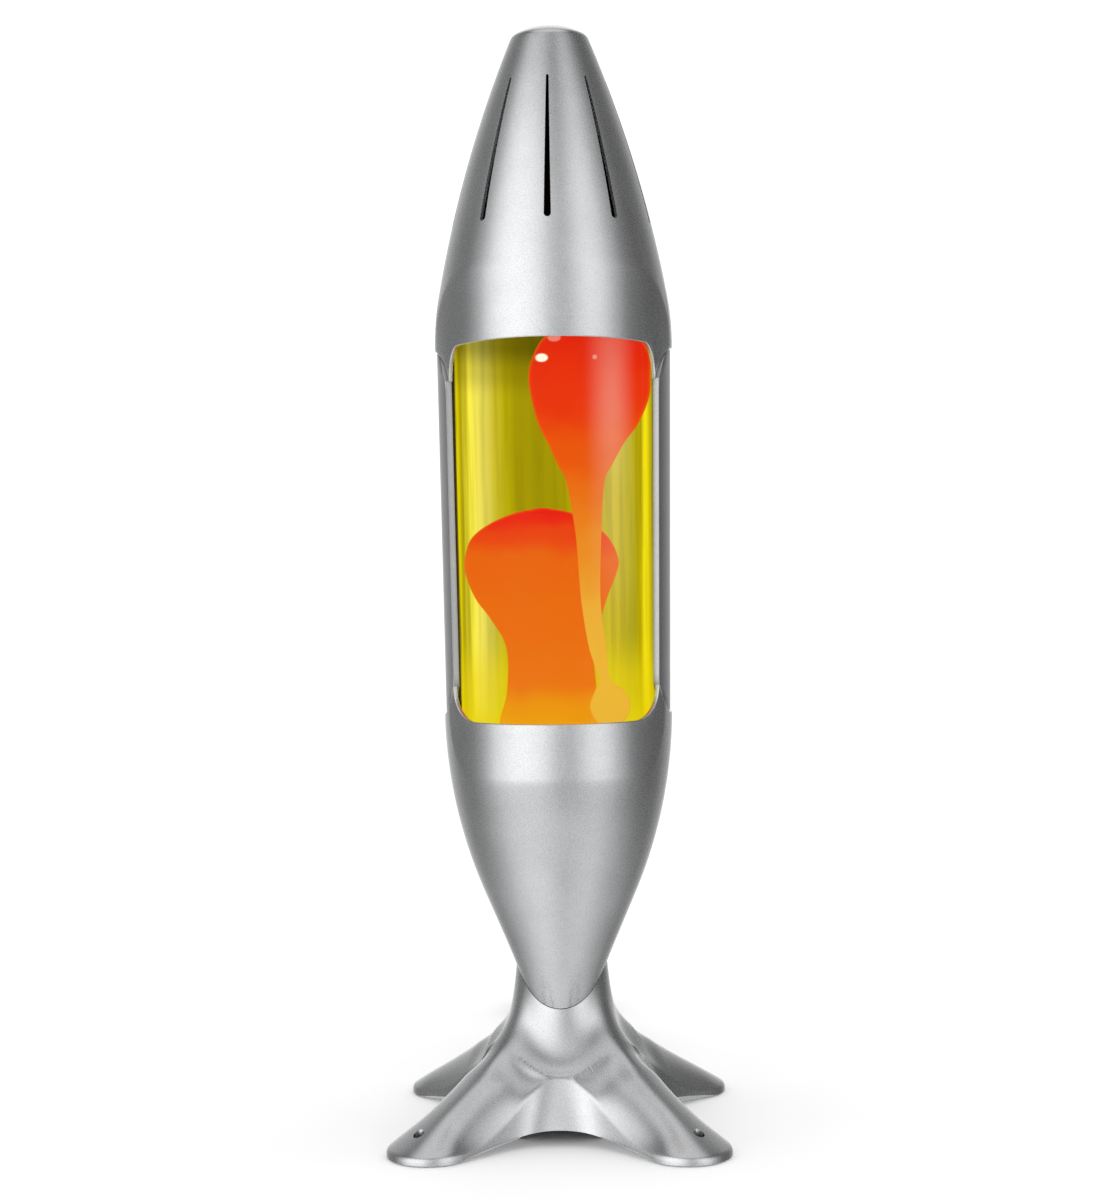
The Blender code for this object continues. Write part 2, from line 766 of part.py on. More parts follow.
def side_strut(name, side):
    """Side plate with pointed ends. Its lower tab is screwed to the bowl, and the upper one guides the nose."""
    centre = side * math.pi / 2
    turns = strut_turns()
    turns[0] += GAP / BELT_R
    half = [math.pi / 2 - turn for turn in turns]
    azimuths = [centre - turn for turn in half] + [centre + turn for turn in reversed(half[:-1])]
    inset = 1.8 * GAP

    def outer(z):
        return body_r(z) - STRUT_RECESS

    def inner(z):
        return body_r(z) - STRUT_RECESS - STRUT_THICK

    def tab_outer(z):
        return body_r(z) - SHEET - TAB_GAP

    def tab_inner(z):
        return body_r(z) - SHEET - TAB_GAP - TAB_THICK

    strut = polar_patch(
        name,
        azimuths,
        lambda phi: bowl_edge(phi) + inset,
        lambda phi: nose_edge(phi) - inset,
        outer,
        inner,
        6,
        strut_silver(),
    )
    tab_azimuths = steps(centre - TAB_HALF, centre + TAB_HALF, 3)
    lower = (TAB_BOTTOM, STRUT_APEX_BOTTOM + 0.012)
    upper = (STRUT_APEX_TOP - 0.012, TAB_TOP)
    for label, (low, high) in (("lower", lower), ("upper", upper)):
        tab = polar_patch(
            f"{name}_{label}_tab",
            tab_azimuths,
            lambda phi, low=low: low,
            lambda phi, high=high: high,
            tab_outer,
            tab_inner,
            4,
            None,
            CUTTERS,
        )
        combine(strut, tab, "UNION")
    for turn in (TAB_SCREW_TURN, -TAB_SCREW_TURN):
        phi = centre + turn
        cutter = turned(f"{name}_hole_{'ab'[turn < 0]}", disc_profile(0.0017, 0.0, 0.010), None, 12, CUTTERS)
        cutter.rotation_euler = (math.pi / 2, 0.0, phi)
        cutter.location = place(body_r(TAB_SCREW_Z) - 0.008, phi, TAB_SCREW_Z)
        cut(strut, cutter)
    return strut


def strut_screw(name, side, turn):
    screw = pan_screw(name, 0.0026, 0.0013, 0.0010, 0.0038, zinc())
    phi = side * math.pi / 2 + turn
    screw.rotation_euler = (math.pi / 2, 0.0, phi)
    screw.location = place(body_r(TAB_SCREW_Z) - 0.0046, phi, TAB_SCREW_Z)
    return screw


# ---------------------------------------------------------------- base


def leg_turn(phi):
    """Angle from the nearest leg, 0 to 45 degrees."""
    quarter = math.pi / 2
    return abs((phi % quarter) - quarter / 2)


def foot_turn():
    return math.atan2(FOOT_HALF, FOOT_CENTRE)


def crest_r(turn):
    """Plan radius of the crest: round foot, then the side of the leg, which turns late into the valley."""
    if turn <= foot_turn():
        along, across = math.cos(turn), math.sin(turn)
        a, b = FOOT_TIP - FOOT_CENTRE, FOOT_HALF
        k = (along / a) ** 2 + (across / b) ** 2
        half = FOOT_CENTRE * along / a**2
        return (half + math.sqrt(half * half - k * ((FOOT_CENTRE / a) ** 2 - 1))) / k
    valley = VALLEY_R * math.sqrt(0.5)
    near, far = valley, FOOT_CENTRE
    for _ in range(30):
        u = (near + far) / 2
        share = (FOOT_CENTRE - u) / (FOOT_CENTRE - valley)
        v = FOOT_HALF + (valley - FOOT_HALF) * share**SIDE_POWER
        if math.atan2(v, u) > turn:
            near = u
        else:
            far = u
    return math.hypot(u, v)


def crest_z(r):
    """Height of the crest at plan radius r: it runs from the valley down to the foot."""
    share = min(max((r - VALLEY_R) / (FOOT_CENTRE - VALLEY_R), 0.0), 1.0)
    return FOOT_Z + FOOT_EDGE + (VALLEY_Z - FOOT_Z - FOOT_EDGE) * (1 - share) ** CREST_POWER


def arch_share(turn):
    """0 along the foot and 1 in the valley, level there."""
    share = max(0.0, (turn - foot_turn()) / (math.pi / 4 - foot_turn()))
    return math.sin(math.pi / 2 * share)


def crest_turns(count=90):
    """Radii of the crest, rising, and the turn at each, for looking up one from the other."""
    turns = steps(math.pi / 4, 0.0, count)
    return [crest_r(turn) for turn in turns], turns


def flare(start, end, lean, slope, reach, count=40):
    """Radii and heights along the curve that leaves the seam steeply and comes in at a slope."""
    span = (end - start).length
    first = start + Vector((lean, -1.0)).normalized() * span * SEAM_REACH
    last = end + Vector((-1.0, slope)).normalized() * span * reach
    points = []
    for share in steps(0.0, 1.0, count):
        a, b = 1 - share, share
        points.append(start * a**3 + first * 3 * a * a * b + last * 3 * a * b * b + end * b**3)
    return [point.x for point in points], [point.y for point in points]


def crown(phi, shares):
    """Points of the upper surface at one azimuth, from the seam at share 0 to the crest at share 1.

    It is the leg's ridge at the middle of a leg, and falls across the leg to the crest or the valley."""
    turn = leg_turn(phi)
    z0 = seam_z(phi) - GAP / 2
    start = Vector((neck_r(z0), z0))
    lean = PINCH_LEAN + 2 * PINCH_FLARE * max(PINCH_Z - z0, 0.0)
    ridge = flare(start, Vector((FOOT_TIP, FOOT_Z + FOOT_EDGE)), lean, FOOT_SLOPE, RIDGE_REACH)
    valley = flare(start, Vector((VALLEY_R, VALLEY_Z)), lean, CREST_SLOPE, VALLEY_REACH)
    end_r = crest_r(turn)
    points = []
    for share in shares:
        r = start.x + (end_r - start.x) * share**CROWN_CROWDING
        high = float(np.interp(r, *ridge))
        if r <= VALLEY_R:
            low, reach = float(np.interp(r, *valley)), math.pi / 4
        else:
            low, reach = crest_z(r), max(float(np.interp(r, *CREST)), 1e-6)
        across = min(turn / reach, 1.0) if share < 1 else 1.0
        soft = math.sin(math.pi / 2 * across) ** 2
        firm = min(max((r - VALLEY_R) / (FIRM_SPAN * VALLEY_R), 0.0), 1.0)
        fall = soft + (across**CROWN_POWER - soft) * firm * firm * (3 - 2 * firm)
        points.append(place(r, phi, high + (low - high) * fall))
    return points


def base_azimuths():
    quarter = math.pi / 2
    half = [0.0, 4.0, 8.0, 11.0, 14.0, 18.0, 24.0, 31.0, 38.0]
    turns = [-math.radians(a) for a in reversed(half[1:])] + [math.radians(a) for a in half]
    found = []
    for leg in range(4):
        found.append(leg * quarter)
        found += [leg * quarter + quarter / 2 + turn for turn in turns]
    return found


def base_casting():
    """Casting with four legs, a socket for the bowl, a stem hole and a hollow underneath."""
    azimuths = base_azimuths()

    def underside(phi):
        return FOOT_Z + (ARCH_Z - FOOT_Z) * math.sqrt(arch_share(leg_turn(phi)))

    def foot_ring(phi):
        turn = leg_turn(phi)
        return place(crest_r(turn) + (ARCH_R - VALLEY_R) * arch_share(turn), phi, underside(phi))

    def round_ring(r, z):
        return [place(r, phi, z) for phi in azimuths]

    def socket(phi, share):
        z = SOCKET_FLOOR + (seam_z(phi) - GAP / 2 - SOCKET_FLOOR) * share
        return place(SPIGOT_R + GAP, phi, z)

    spokes = [crown(phi, steps(0.0, 1.0, 9)) for phi in azimuths]
    rings = [list(ring) for ring in zip(*spokes)]
    rings.append([foot_ring(phi) for phi in azimuths])
    rings.append([place(HOLLOW_R, phi, underside(phi)) for phi in azimuths])
    rings += [round_ring(HOLLOW_R * 0.77, 0.022), round_ring(HUB_R, CEILING)]
    rings += [round_ring(STEM_R + GAP, CEILING), round_ring(STEM_R + GAP, SOCKET_FLOOR)]
    rings += [[socket(phi, share) for phi in azimuths] for share in (0.0, 0.5, 1.0)]
    casting = loft("base_casting", rings, satin_silver(), ring_of_rings=True)
    below, above = -0.005, 0.030
    for number, (x, y) in enumerate(leg_points(FOOT_HOLE_U)):
        cut(casting, hole(f"foot_hole_{number + 1}", FOOT_HOLE_R, below, above, x, y))
    for number, (x, y) in enumerate(leg_points(PAD_U)):
        cut(casting, hole(f"pad_pocket_{number + 1}", PAD_R + GAP, below, PAD_H + GAP, x, y))
    return casting


CREST = crest_turns()


def leg_points(u):
    """(x, y) at distance u along each leg: front right, back right, back left, front left."""
    points = []
    for leg in range(4):
        spot = place(u, math.pi / 4 + leg * math.pi / 2, 0.0)
        points.append((spot.x, spot.y))
    return points


LEG_NAMES = ("front_right", "back_right", "back_left", "front_left")


def foot_pads():
    for name, (x, y) in zip(LEG_NAMES, leg_points(PAD_U)):
        pad = turned(f"foot_pad_{name}", disc_profile(PAD_R, 0.0, PAD_H), black_rubber(), 16)
        pad.location = (x, y, 0.0)


# ---------------------------------------------------------------- stem and lamp


def stem_tube():
    return turned("stem_tube", ring_profile(STEM_BORE, STEM_R, STEM_BOTTOM, STEM_TOP), brass())


def hex_nut(name, z_low):
    nut = prism(name, [polar(NUT_R, i * math.pi / 3) for i in range(6)], NUT_H, zinc())
    nut.location = (0.0, 0.0, z_low + NUT_H / 2)
    bore = hole(f"{name}_bore", STEM_R + GAP, z_low - PAST, z_low + NUT_H + PAST)
    return cut(nut, bore)


def polar(radius, angle):
    return (radius * math.cos(angle), radius * math.sin(angle))


def stem_fixings():
    """A washer and nut under the base, a nut inside the bowl, a nut over the bracket and a cord gland."""
    under = CEILING - GAP - WASHER_H
    turned("stem_washer", ring_profile(STEM_R + GAP, WASHER_R, under, under + WASHER_H), zinc())
    hex_nut("stem_nut_base", under - GAP - NUT_H)
    hex_nut("stem_nut_bowl", SOCKET_FLOOR + SHELL_FLOOR + GAP)
    hex_nut("stem_nut_holder", BRACKET_Z + BRACKET_H + GAP)
    profile = [
        (GLAND_R, GLAND_TOP),
        (GLAND_R, GLAND_LOW + GLAND_TAPER_H),
        (GLAND_R - GLAND_TAPER_R, GLAND_LOW),
        (CABLE_R + GAP, GLAND_LOW),
        (CABLE_R + GAP, STEM_BOTTOM - GAP),
        (STEM_R + GAP, STEM_BOTTOM - GAP),
        (STEM_R + GAP, GLAND_TOP),
    ]
    turned("cord_gland", profile, black_plastic())


def cord_guard():
    """Angle under the bend of the lead. It stands on the ground at the centre of the base."""
    front, back, top = GUARD_FRONT, GUARD_BACK, GUARD_TOP
    wall = front + GUARD_WALL
    outline = [(front, 0.0), (back, 0.0), (back, GUARD_FLOOR), (wall, GUARD_FLOOR), (wall, top), (front, top)]
    guard = prism("cord_guard", outline, GUARD_WIDE, black_plastic())
    guard.rotation_euler = (math.pi / 2, 0.0, math.pi / 2)
    return guard


def holder_bracket():
    plate = turned(
        "holder_bracket",
        ring_profile(STEM_R + GAP, BRACKET_R, BRACKET_Z, BRACKET_Z + BRACKET_H),
        zinc(),
    )
    for side in (1, -1):
        name = f"bracket_hole_{'rl'[side < 0]}"
        x = side * HOLDER_SCREW_X
        cut(plate, hole(name, LEAD_BORE, BRACKET_Z - PAST, BRACKET_Z + BRACKET_H + PAST, x=x, segments=12))
    return plate


def lamp_holder():
    """Ceramic twist-lock holder: pocket for the nut below, two curved slots for the bulb's pins above."""
    bottom = BRACKET_Z + BRACKET_H + GAP
    profile = [
        (0.0, HOLDER_TOP),
        (HOLDER_R - HOLDER_EDGE, HOLDER_TOP),
        (HOLDER_R, HOLDER_TOP - HOLDER_EDGE),
        (HOLDER_R, bottom),
        (NUT_R + POCKET_ROOM, bottom),
        (NUT_R + POCKET_ROOM, POCKET_TOP),
        (0.0, POCKET_TOP),
    ]
    holder = turned("lamp_holder", profile, ceramic(), segments=28)
    for side in (1, -1):
        tag = "rl"[side < 0]
        x = side * HOLDER_SCREW_X
        cut(holder, hole(f"holder_screw_cut_{tag}", THREAD_R, bottom - PAST, THREAD_TOP, x=x, segments=12))
        x = side * LEAD_X
        cut(holder, hole(f"holder_lead_cut_{tag}", LEAD_BORE, POCKET_TOP - PAST, LEAD_BORE_TOP, x=x, segments=12))
        start = math.pi * (side < 0)
        slot = polar_patch(
            f"holder_slot_{tag}",
            steps(start - SLOT_SPREAD, start + SLOT_SPREAD + BULB_TWIST, 8),
            lambda phi: HOLDER_TOP - SLOT_DEEP,
            lambda phi: HOLDER_TOP + PAST,
            lambda z: PIN_CIRCLE + SLOT_HALF,
            lambda z: PIN_CIRCLE - SLOT_HALF,
            1,
            None,
            CUTTERS,
        )
        cut(holder, slot)
    return holder


def holder_screws():
    for side, label in ((1, "right"), (-1, "left")):
        screw = pan_screw(f"holder_screw_{label}", *HOLDER_SCREW, zinc())
        screw.location = (side * HOLDER_SCREW_X, 0.0, BRACKET_Z - GAP)


def bulb():
    """Reflector bulb on two pins. Its parts turn about the Z axis of the holder."""
    axis = bpy.data.objects.new("bulb_axis", None)
    bpy.data.collections[PARTS].objects.link(axis)
    axis.location = (0.0, 0.0, BULB_NECK)
    neck = [
        (0.0, BULB_CUP - GAP),
        (BULB_BASE_END, BULB_CUP - GAP),
        (BULB_BASE_R, BULB_NECK + BULB_BASE_EDGE),
        (BULB_BASE_END, BULB_NECK),
        (0.0, BULB_NECK),
    ]
    base = turned("bulb_base", neck, ceramic(), segments=28)
    outside = [reflector_point(share, 0.0) for share in steps(1.0, 0.0, 4)]
    inside = [reflector_point(share, CUP_WALL) for share in steps(0.0, 1.0, 4)]
    profile = outside + [(CUP_BORE, BULB_CUP), (CUP_BORE, inside[0][1])] + inside
    cup = turned("bulb_reflector", profile, clear_glass(), 28)
    lens_z = BULB_FACE + GAP
    lens = turned("bulb_lens", disc_profile(BULB_R - LENS_IN, lens_z, lens_z + LENS_H), clear_glass(), 28)
    pieces = [base, cup, lens]
    for side, label in ((1, "front"), (-1, "back")):
        profile = [
            (0.0, BULB_NECK + PIN_ROOT),
            (PIN_R, BULB_NECK + PIN_ROOT),
            (PIN_R, BULB_NECK - PIN_NECK),
            (PIN_HEAD_R, BULB_NECK - PIN_NECK),
            (PIN_HEAD_R, BULB_NECK - PIN_LONG),
            (0.0, BULB_NECK - PIN_LONG),
        ]
        pin = turned(f"bulb_pin_{label}", profile, brass(), 12)
        pin.location = (0.0, -side * PIN_CIRCLE, 0.0)
        z_high = BULB_NECK + PIN_ROOT + GAP
        cut(base, hole(f"bulb_pin_cut_{label}", PIN_R + GAP, BULB_NECK - PAST, z_high, y=-side * PIN_CIRCLE))
        pieces.append(pin)
    for piece in pieces:
        piece.parent = axis
        piece.matrix_parent_inverse = axis.matrix_world.inverted()
        piece.location.z -= axis.location.z
    return axis


def reflector_point(share, inward):
    """Parabolic cup, from its neck at share 0 to its rim at share 1."""
    z = BULB_CUP + inward + (BULB_FACE - BULB_CUP - inward) * share
    r = CUP_R + (BULB_R - CUP_R) * math.sqrt(share)
    return (r - inward, z)


def leads():
    for side, label in ((1, "live"), (-1, "neutral")):
        x = side * LEAD_X
        wire(f"lamp_lead_{label}", [(x, 0.0, z) for z in (LEAD_LOW, LEAD_TOP)], LEAD_R, black_plastic(), 1)


# ---------------------------------------------------------------- bottle


def bottle_r(z):
    share = (z - BOTTLE_BOTTOM) / (BOTTLE_SHOULDER - BOTTLE_BOTTOM)
    return BOTTLE_R_LOW + (BOTTLE_R_HIGH - BOTTLE_R_LOW) * share


def bottle_profile(inset, neck_top):
    """Outer side of the bottle, inset all round, from the neck down to the axis."""
    points = [(NECK_R - inset, neck_top), (NECK_R - inset, BOTTLE_SHOULDER + NECK_RISE)]
    wide = BOTTLE_R_HIGH - inset
    reach = SHOULDER_REACH * (wide - NECK_R + inset) / (1 - math.cos(SHOULDER_TURN))
    for angle in steps(SHOULDER_TURN, 0.0, 4):
        z = BOTTLE_SHOULDER - inset + SHOULDER_RISE * math.sin(angle) / math.sin(SHOULDER_TURN)
        points.append((wide - reach * (1 - math.cos(angle)), z))
    for z in steps(BOTTLE_SHOULDER - inset, BOTTLE_BOTTOM + HEEL_R, 4)[1:]:
        points.append((bottle_r(z) - inset, z))
    low = BOTTLE_BOTTOM + inset
    points.append((bottle_r(low) - inset - HEEL_CUT_R, low + HEEL_CUT_H))
    points.append((bottle_r(low) - inset - HEEL_R, low))
    return points


def bottle_seat():
    return turned(
        "bottle_seat",
        ring_profile(SEAT_R_IN, SEAT_R_OUT, SEAT_Z, SEAT_Z + SEAT_H),
        black_rubber(),
        segments=32,
    )


def bottle_glass():
    outside = bottle_profile(0.0, NECK_TOP)
    inside = bottle_profile(GLASS, NECK_TOP)
    floor = BOTTLE_BOTTOM + GLASS
    profile = outside + [(0.0, BOTTLE_BOTTOM), (0.0, floor)] + list(reversed(inside))
    mesh_profile = [profile[-1]] + profile[:-1]
    return turned("bottle_glass", mesh_profile, clear_glass(), segments=28)


def smooth_between(points, z):
    """Eased interpolation through (z, value) points."""
    points = sorted(points)
    if z <= points[0][0]:
        return points[0][1]
    for (z0, v0), (z1, v1) in zip(points, points[1:]):
        if z <= z1:
            share = (z - z0) / (z1 - z0)
            return v0 + (v1 - v0) * share * share * (3 - 2 * share)
    return points[-1][1]


# Wax outlines: height, left edge and right edge, seen from the front
COLUMN = (
    (0.1535, -0.0240, 0.0165),
    (0.1600, -0.0233, 0.0160),
    (0.1706, -0.0206, 0.0150),
    (0.1875, -0.0206, 0.0139),
    (0.1988, -0.0265, 0.0170),
    (0.2071, -0.0325, 0.0196),
    (0.2161, -0.0360, 0.0232),
    (0.2224, -0.0365, 0.0240),
    (0.2310, -0.0335, 0.0198),
    (0.2369, -0.0265, 0.0130),
    (0.2410, -0.0165, 0.0050),
    (0.2428, -0.0070, -0.0040),
)
DROP = (
    (0.1580, 0.0180, 0.0230),
    (0.1610, 0.0145, 0.0268),
    (0.1663, 0.0128, 0.0284),
    (0.1720, 0.0148, 0.0262),
    (0.1765, 0.0164, 0.0208),
    (0.1894, 0.0127, 0.0194),
    (0.2079, 0.0100, 0.0175),
    (0.2330, 0.0082, 0.0182),
    (0.2526, 0.0049, 0.0197),
    (0.2588, 0.0018, 0.0225),
    (0.2675, -0.0022, 0.0273),
    (0.2753, -0.0061, 0.0330),
    (0.2855, -0.0088, 0.0368),
    (0.2945, -0.0098, 0.0372),
    (0.3024, -0.0078, 0.0366),
    (0.3094, -0.0030, 0.0310),
    (0.3130, 0.0080, 0.0190),
)
COLUMN_DEPTH = ((0.15, 0.006), (0.24, 0.008))
COLUMN_FLAT = 0.62
DROP_DEPTH = ((0.157, -0.015), (0.185, -0.018), (0.245, -0.018), (0.285, -0.003))
DROP_FLAT = 0.86


def wax_rings(outline, depth, flat, swell, count=14):
    rings = []
    for z, left, right in outline:
        half = (right - left) / 2 + swell
        centre = (right + left) / 2
        middle = smooth_between(depth, z)
        deep = max(half * flat, min(half, 0.003))
        ring = []
        for i in range(count):
            angle = 2 * math.pi * i / count
            x = centre + half * math.cos(angle)
            y = middle + deep * math.sin(angle)
            ring.append(Vector((x, y, z)))
        rings.append(ring)
    return rings


def wax_piece(name, outline, depth, flat):
    return loft(name, wax_rings(outline, depth, flat, 0.0), red_wax())


def wax_room(name, outline, depth, flat):
    """Room for one wax piece in the liquid, open at the liquid's floor."""
    rings = wax_rings(outline, depth, flat, 1.6 * GAP)
    below = Vector((0.0, 0.0, BOTTLE_BOTTOM - 0.002 - rings[0][0].z))
    above = Vector((0.0, 0.0, 2 * GAP))
    rings.insert(0, [point + below for point in rings[0]])
    rings.append([point + above for point in rings[-1]])
    return loft(name, rings, None, collection=CUTTERS)


def liquid():
    """Liquid column. Under it a channel holds the wire coil, and the wax has its own rooms."""
    inset = GLASS + GAP
    side = [(r, z) for r, z in bottle_profile(inset, LIQUID_TOP) if r > NECK_R + 0.004]
    top_r = side[0][0]
    top_z = side[0][1]
    floor = BOTTLE_BOTTOM + inset
    profile = [(0.0, top_z), (top_r, top_z)] + side[1:]
    profile += [
        (COIL_R + COIL_CHANNEL, floor),
        (COIL_R + COIL_CHANNEL, floor + 2 * COIL_CHANNEL),
        (COIL_R - COIL_CHANNEL, floor + 2 * COIL_CHANNEL),
        (COIL_R - COIL_CHANNEL, floor),
        (0.0, floor),
    ]
    body = turned("liquid", profile, yellow_liquid(), segments=28)
    cut(body, wax_room("column_room", COLUMN, COLUMN_DEPTH, COLUMN_FLAT))
    cut(body, wax_room("drop_room", DROP, DROP_DEPTH, DROP_FLAT))
    return body


def wire_coil():
    """Spring ring on the bottle's floor."""
    per_turn = 5
    count = COIL_TURNS * per_turn
    points = []
    for i in range(count):
        phi = COIL_SWEEP * i / count
        angle = 2 * math.pi * i / per_turn
        r = COIL_R + COIL_TURN_R * math.cos(angle)
        z = BOTTLE_BOTTOM + GLASS + GAP + COIL_WIRE_R + COIL_TURN_R * (1 + math.sin(angle))
        points.append(place(r, phi, z))
    return wire("wire_coil", points, COIL_WIRE_R, zinc(), 0)


def bottle_closure():
    """Screw cap with its liner on the bottle's neck."""
    liner_low = NECK_TOP + GAP
    turned("cap_liner", disc_profile(NECK_R - GAP, liner_low, liner_low + LINER_H), black_rubber(), 28)
    inner = NECK_R + GAP
    roof = liner_low + LINER_H + GAP
    profile = [
        (0.0, roof + CAP_ROOF),
        (NECK_R + CAP_WALL - CAP_EDGE, roof + CAP_ROOF),
        (NECK_R + CAP_WALL, roof),
        (NECK_R + CAP_WALL, roof - CAP_SKIRT),
        (inner, roof - CAP_SKIRT),
        (inner, roof),
        (0.0, roof),
    ]
    turned("bottle_cap", profile, cap_metal(), segments=28)


# ---------------------------------------------------------------- mains lead


def mains_cables():
    """Lead from the gland, under the rear arch and along the floor, to the switch and on to the plug."""
    bend = []
    for i in range(6):
        angle = math.pi / 2 * i / 5
        y = CABLE_BEND * (1 - math.cos(angle))
        z = CABLE_FLOOR + CABLE_BEND * (1 - math.sin(angle))
        bend.append((0.0, y, z))
    entry = SWITCH_HIGH / 2
    half = SWITCH_LONG / 2
    first = [(0.0, 0.0, 0.0182)] + bend
    first += wave(0.060, SWITCH_Y - half - CABLE_STRAIGHT, CABLE_FLOOR, entry)
    first.append((0.0, SWITCH_Y - half + CABLE_INSIDE, entry))
    wire("mains_cable_lamp_side", first, CABLE_R, black_rubber(), 1)
    second = [(0.0, SWITCH_Y + half - CABLE_INSIDE, entry)]
    ends = (SWITCH_Y + half + CABLE_STRAIGHT, PLUG_Y - CABLE_STRAIGHT)
    second += wave(*ends, entry, PLUG_HIGH / 2, PLUG_X, 10)
    second.append((PLUG_X, PLUG_Y + CABLE_INSIDE, PLUG_HIGH / 2))
    wire("mains_cable_plug_side", second, CABLE_R, black_rubber(), 1)


def wave(y_start, y_end, z_start, z_end, aside=0.0, count=6):
    """Gentle climb from one height to another, and aside from the middle plane."""
    points = []
    for share in steps(0.0, 1.0, count):
        ease = share * share * (3 - 2 * share)
        y = y_start + (y_end - y_start) * share
        points.append((aside * ease, y, z_start + (z_end - z_start) * ease))
    return points


def switch_half(name, low, high, cavity_low, cavity_high):
    """Half of the switch's housing: a room in the middle, and half of each cable entry in its solid ends."""
    middle = (low + high) / 2
    size = (SWITCH_WIDE, SWITCH_LONG, high - low)
    half = box(name, size, (0.0, SWITCH_Y, middle), black_plastic(), bevel=0.0015)
    room = (SWITCH_WIDE - 2 * SWITCH_WALL, SWITCH_ROOM, cavity_high - cavity_low)
    centre = (0.0, SWITCH_Y, (cavity_low + cavity_high) / 2)
    cut(half, box(f"{name}_room", room, centre, None, collection=CUTTERS))
    entry = turned(f"{name}_entry", disc_profile(CABLE_R + GAP, -0.04, 0.04), None, 12, CUTTERS)
    entry.rotation_euler = (math.pi / 2, 0.0, 0.0)
    entry.location = (0.0, SWITCH_Y, SWITCH_HIGH / 2)
    return cut(half, entry)


def inline_switch():
    """Two housing halves, held by two screws from below at opposite corners."""
    split = SWITCH_HIGH / 2
    lower = switch_half("switch_housing_bottom", 0.0, split - GAP / 2, SWITCH_WALL, split + 0.001)
    upper_room = (split - 0.001, SWITCH_HIGH - SWITCH_WALL)
    upper = switch_half("switch_housing_top", split + GAP / 2, SWITCH_HIGH, *upper_room)
    opening = (ROCKER_WIDE + 2 * GAP, 2 * ROCKER_R + 2 * GAP, 0.006)
    cut(upper, box("rocker_opening", opening, (0.0, SWITCH_Y, SWITCH_HIGH), None, collection=CUTTERS))
    for side, label in ((1, "back"), (-1, "front")):
        x, y = side * SWITCH_SCREW_X, SWITCH_Y + side * SWITCH_SCREW_Y
        head_r, _, shank_r, length = SWITCH_SCREW
        thread_top = SWITCH_SCREW_Z + length + PAST
        cut(upper, hole(f"switch_thread_{label}", shank_r + GAP, 0.0, thread_top, x, y, 12))
        cut(lower, hole(f"switch_screw_bore_{label}", shank_r + 2 * GAP, -PAST, split, x, y, 12))
        cut(lower, hole(f"switch_head_bore_{label}", head_r + GAP, -PAST, SWITCH_SCREW_Z + GAP, x, y, 12))
        screw = pan_screw(f"switch_screw_{label}", *SWITCH_SCREW, zinc())
        screw.location = (x, y, SWITCH_SCREW_Z)


def rocker():
    """Rocker with a shallow valley on top, tipped about a transverse axis."""
    outline = []
    for start, end in ((-25, 22), (158, 205)):
        for i in range(5):
            angle = math.radians(start + (end - start) * i / 4)
            outline.append(polar(ROCKER_R, angle + ROCKER_TILT))
        if start < 0:
            outline.append(polar(ROCKER_R * 0.26, math.pi / 2 + ROCKER_TILT))
    piece = prism("switch_rocker", outline, ROCKER_WIDE, black_plastic())
    piece.location = (0.0, SWITCH_Y, ROCKER_Z)
    piece.rotation_euler = (math.pi / 2, 0.0, math.pi / 2)
    return piece


def plug():
    centre = (PLUG_X, PLUG_Y + PLUG_LONG / 2, PLUG_HIGH / 2)
    body = box("plug_body", (PLUG_WIDE, PLUG_LONG, PLUG_HIGH), centre, black_plastic(), bevel=PLUG_EDGE)
    entry = turned("plug_entry", disc_profile(CABLE_R + GAP, -PLUG_ENTRY, PLUG_ENTRY), None, 12, CUTTERS)
    entry.rotation_euler = (math.pi / 2, 0.0, 0.0)
    entry.location = (PLUG_X, PLUG_Y, PLUG_HIGH / 2)
    cut(body, entry)
    front = PLUG_Y + PLUG_LONG
    deep = PLUG_PIN_IN + PAST
    for side, label in ((1, "right"), (-1, "left")):
        socket = turned(f"plug_pin_cut_{label}", disc_profile(PLUG_PIN_R + GAP, -deep, deep), None, 12, CUTTERS)
        socket.rotation_euler = (math.pi / 2, 0.0, 0.0)
        socket.location = (PLUG_X + side * PLUG_PIN_X, front, PLUG_HIGH / 2)
        cut(body, socket)
        length = PLUG_PIN_LONG + PLUG_PIN_IN
        profile = [(0.0, length), (PLUG_PIN_R - PIN_TIP, length), (PLUG_PIN_R, length - PIN_TIP)]
        profile += [(PLUG_PIN_R, 0.0), (0.0, 0.0)]
        pin = turned(f"plug_pin_{label}", profile, brass(), 12)
        pin.rotation_euler = (-math.pi / 2, 0.0, 0.0)
        pin.location = (PLUG_X + side * PLUG_PIN_X, front - PLUG_PIN_IN, PLUG_HIGH / 2)
    return body


# ---------------------------------------------------------------- assembly


def build():
    clear_scene()
    base_casting()
    foot_pads()
    lower_shell()
    for side, label in ((1, "right"), (-1, "left")):
        side_strut(f"side_strut_{label}", side)
        for turn, tag in ((TAB_SCREW_TURN, "a"), (-TAB_SCREW_TURN, "b")):
            strut_screw(f"strut_screw_{label}_{tag}", side, turn)
    top_shell()
    stem_tube()
    stem_fixings()
    cord_guard()
    holder_bracket()
    lamp_holder()
    holder_screws()
    bulb()
    leads()
    bottle_seat()
    bottle_glass()
    liquid()
    wax_piece("wax_column", COLUMN, COLUMN_DEPTH, COLUMN_FLAT)
    wax_piece("wax_drop", DROP, DROP_DEPTH, DROP_FLAT)
    wire_coil()
    bottle_closure()
    mains_cables()
    inline_switch()
    rocker()
    plug()


build()
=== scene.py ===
"""Looks of the lava lamp: satin metal shells, glass bottle, liquid and wax shown in painted light, round the
frame.
"""

import math

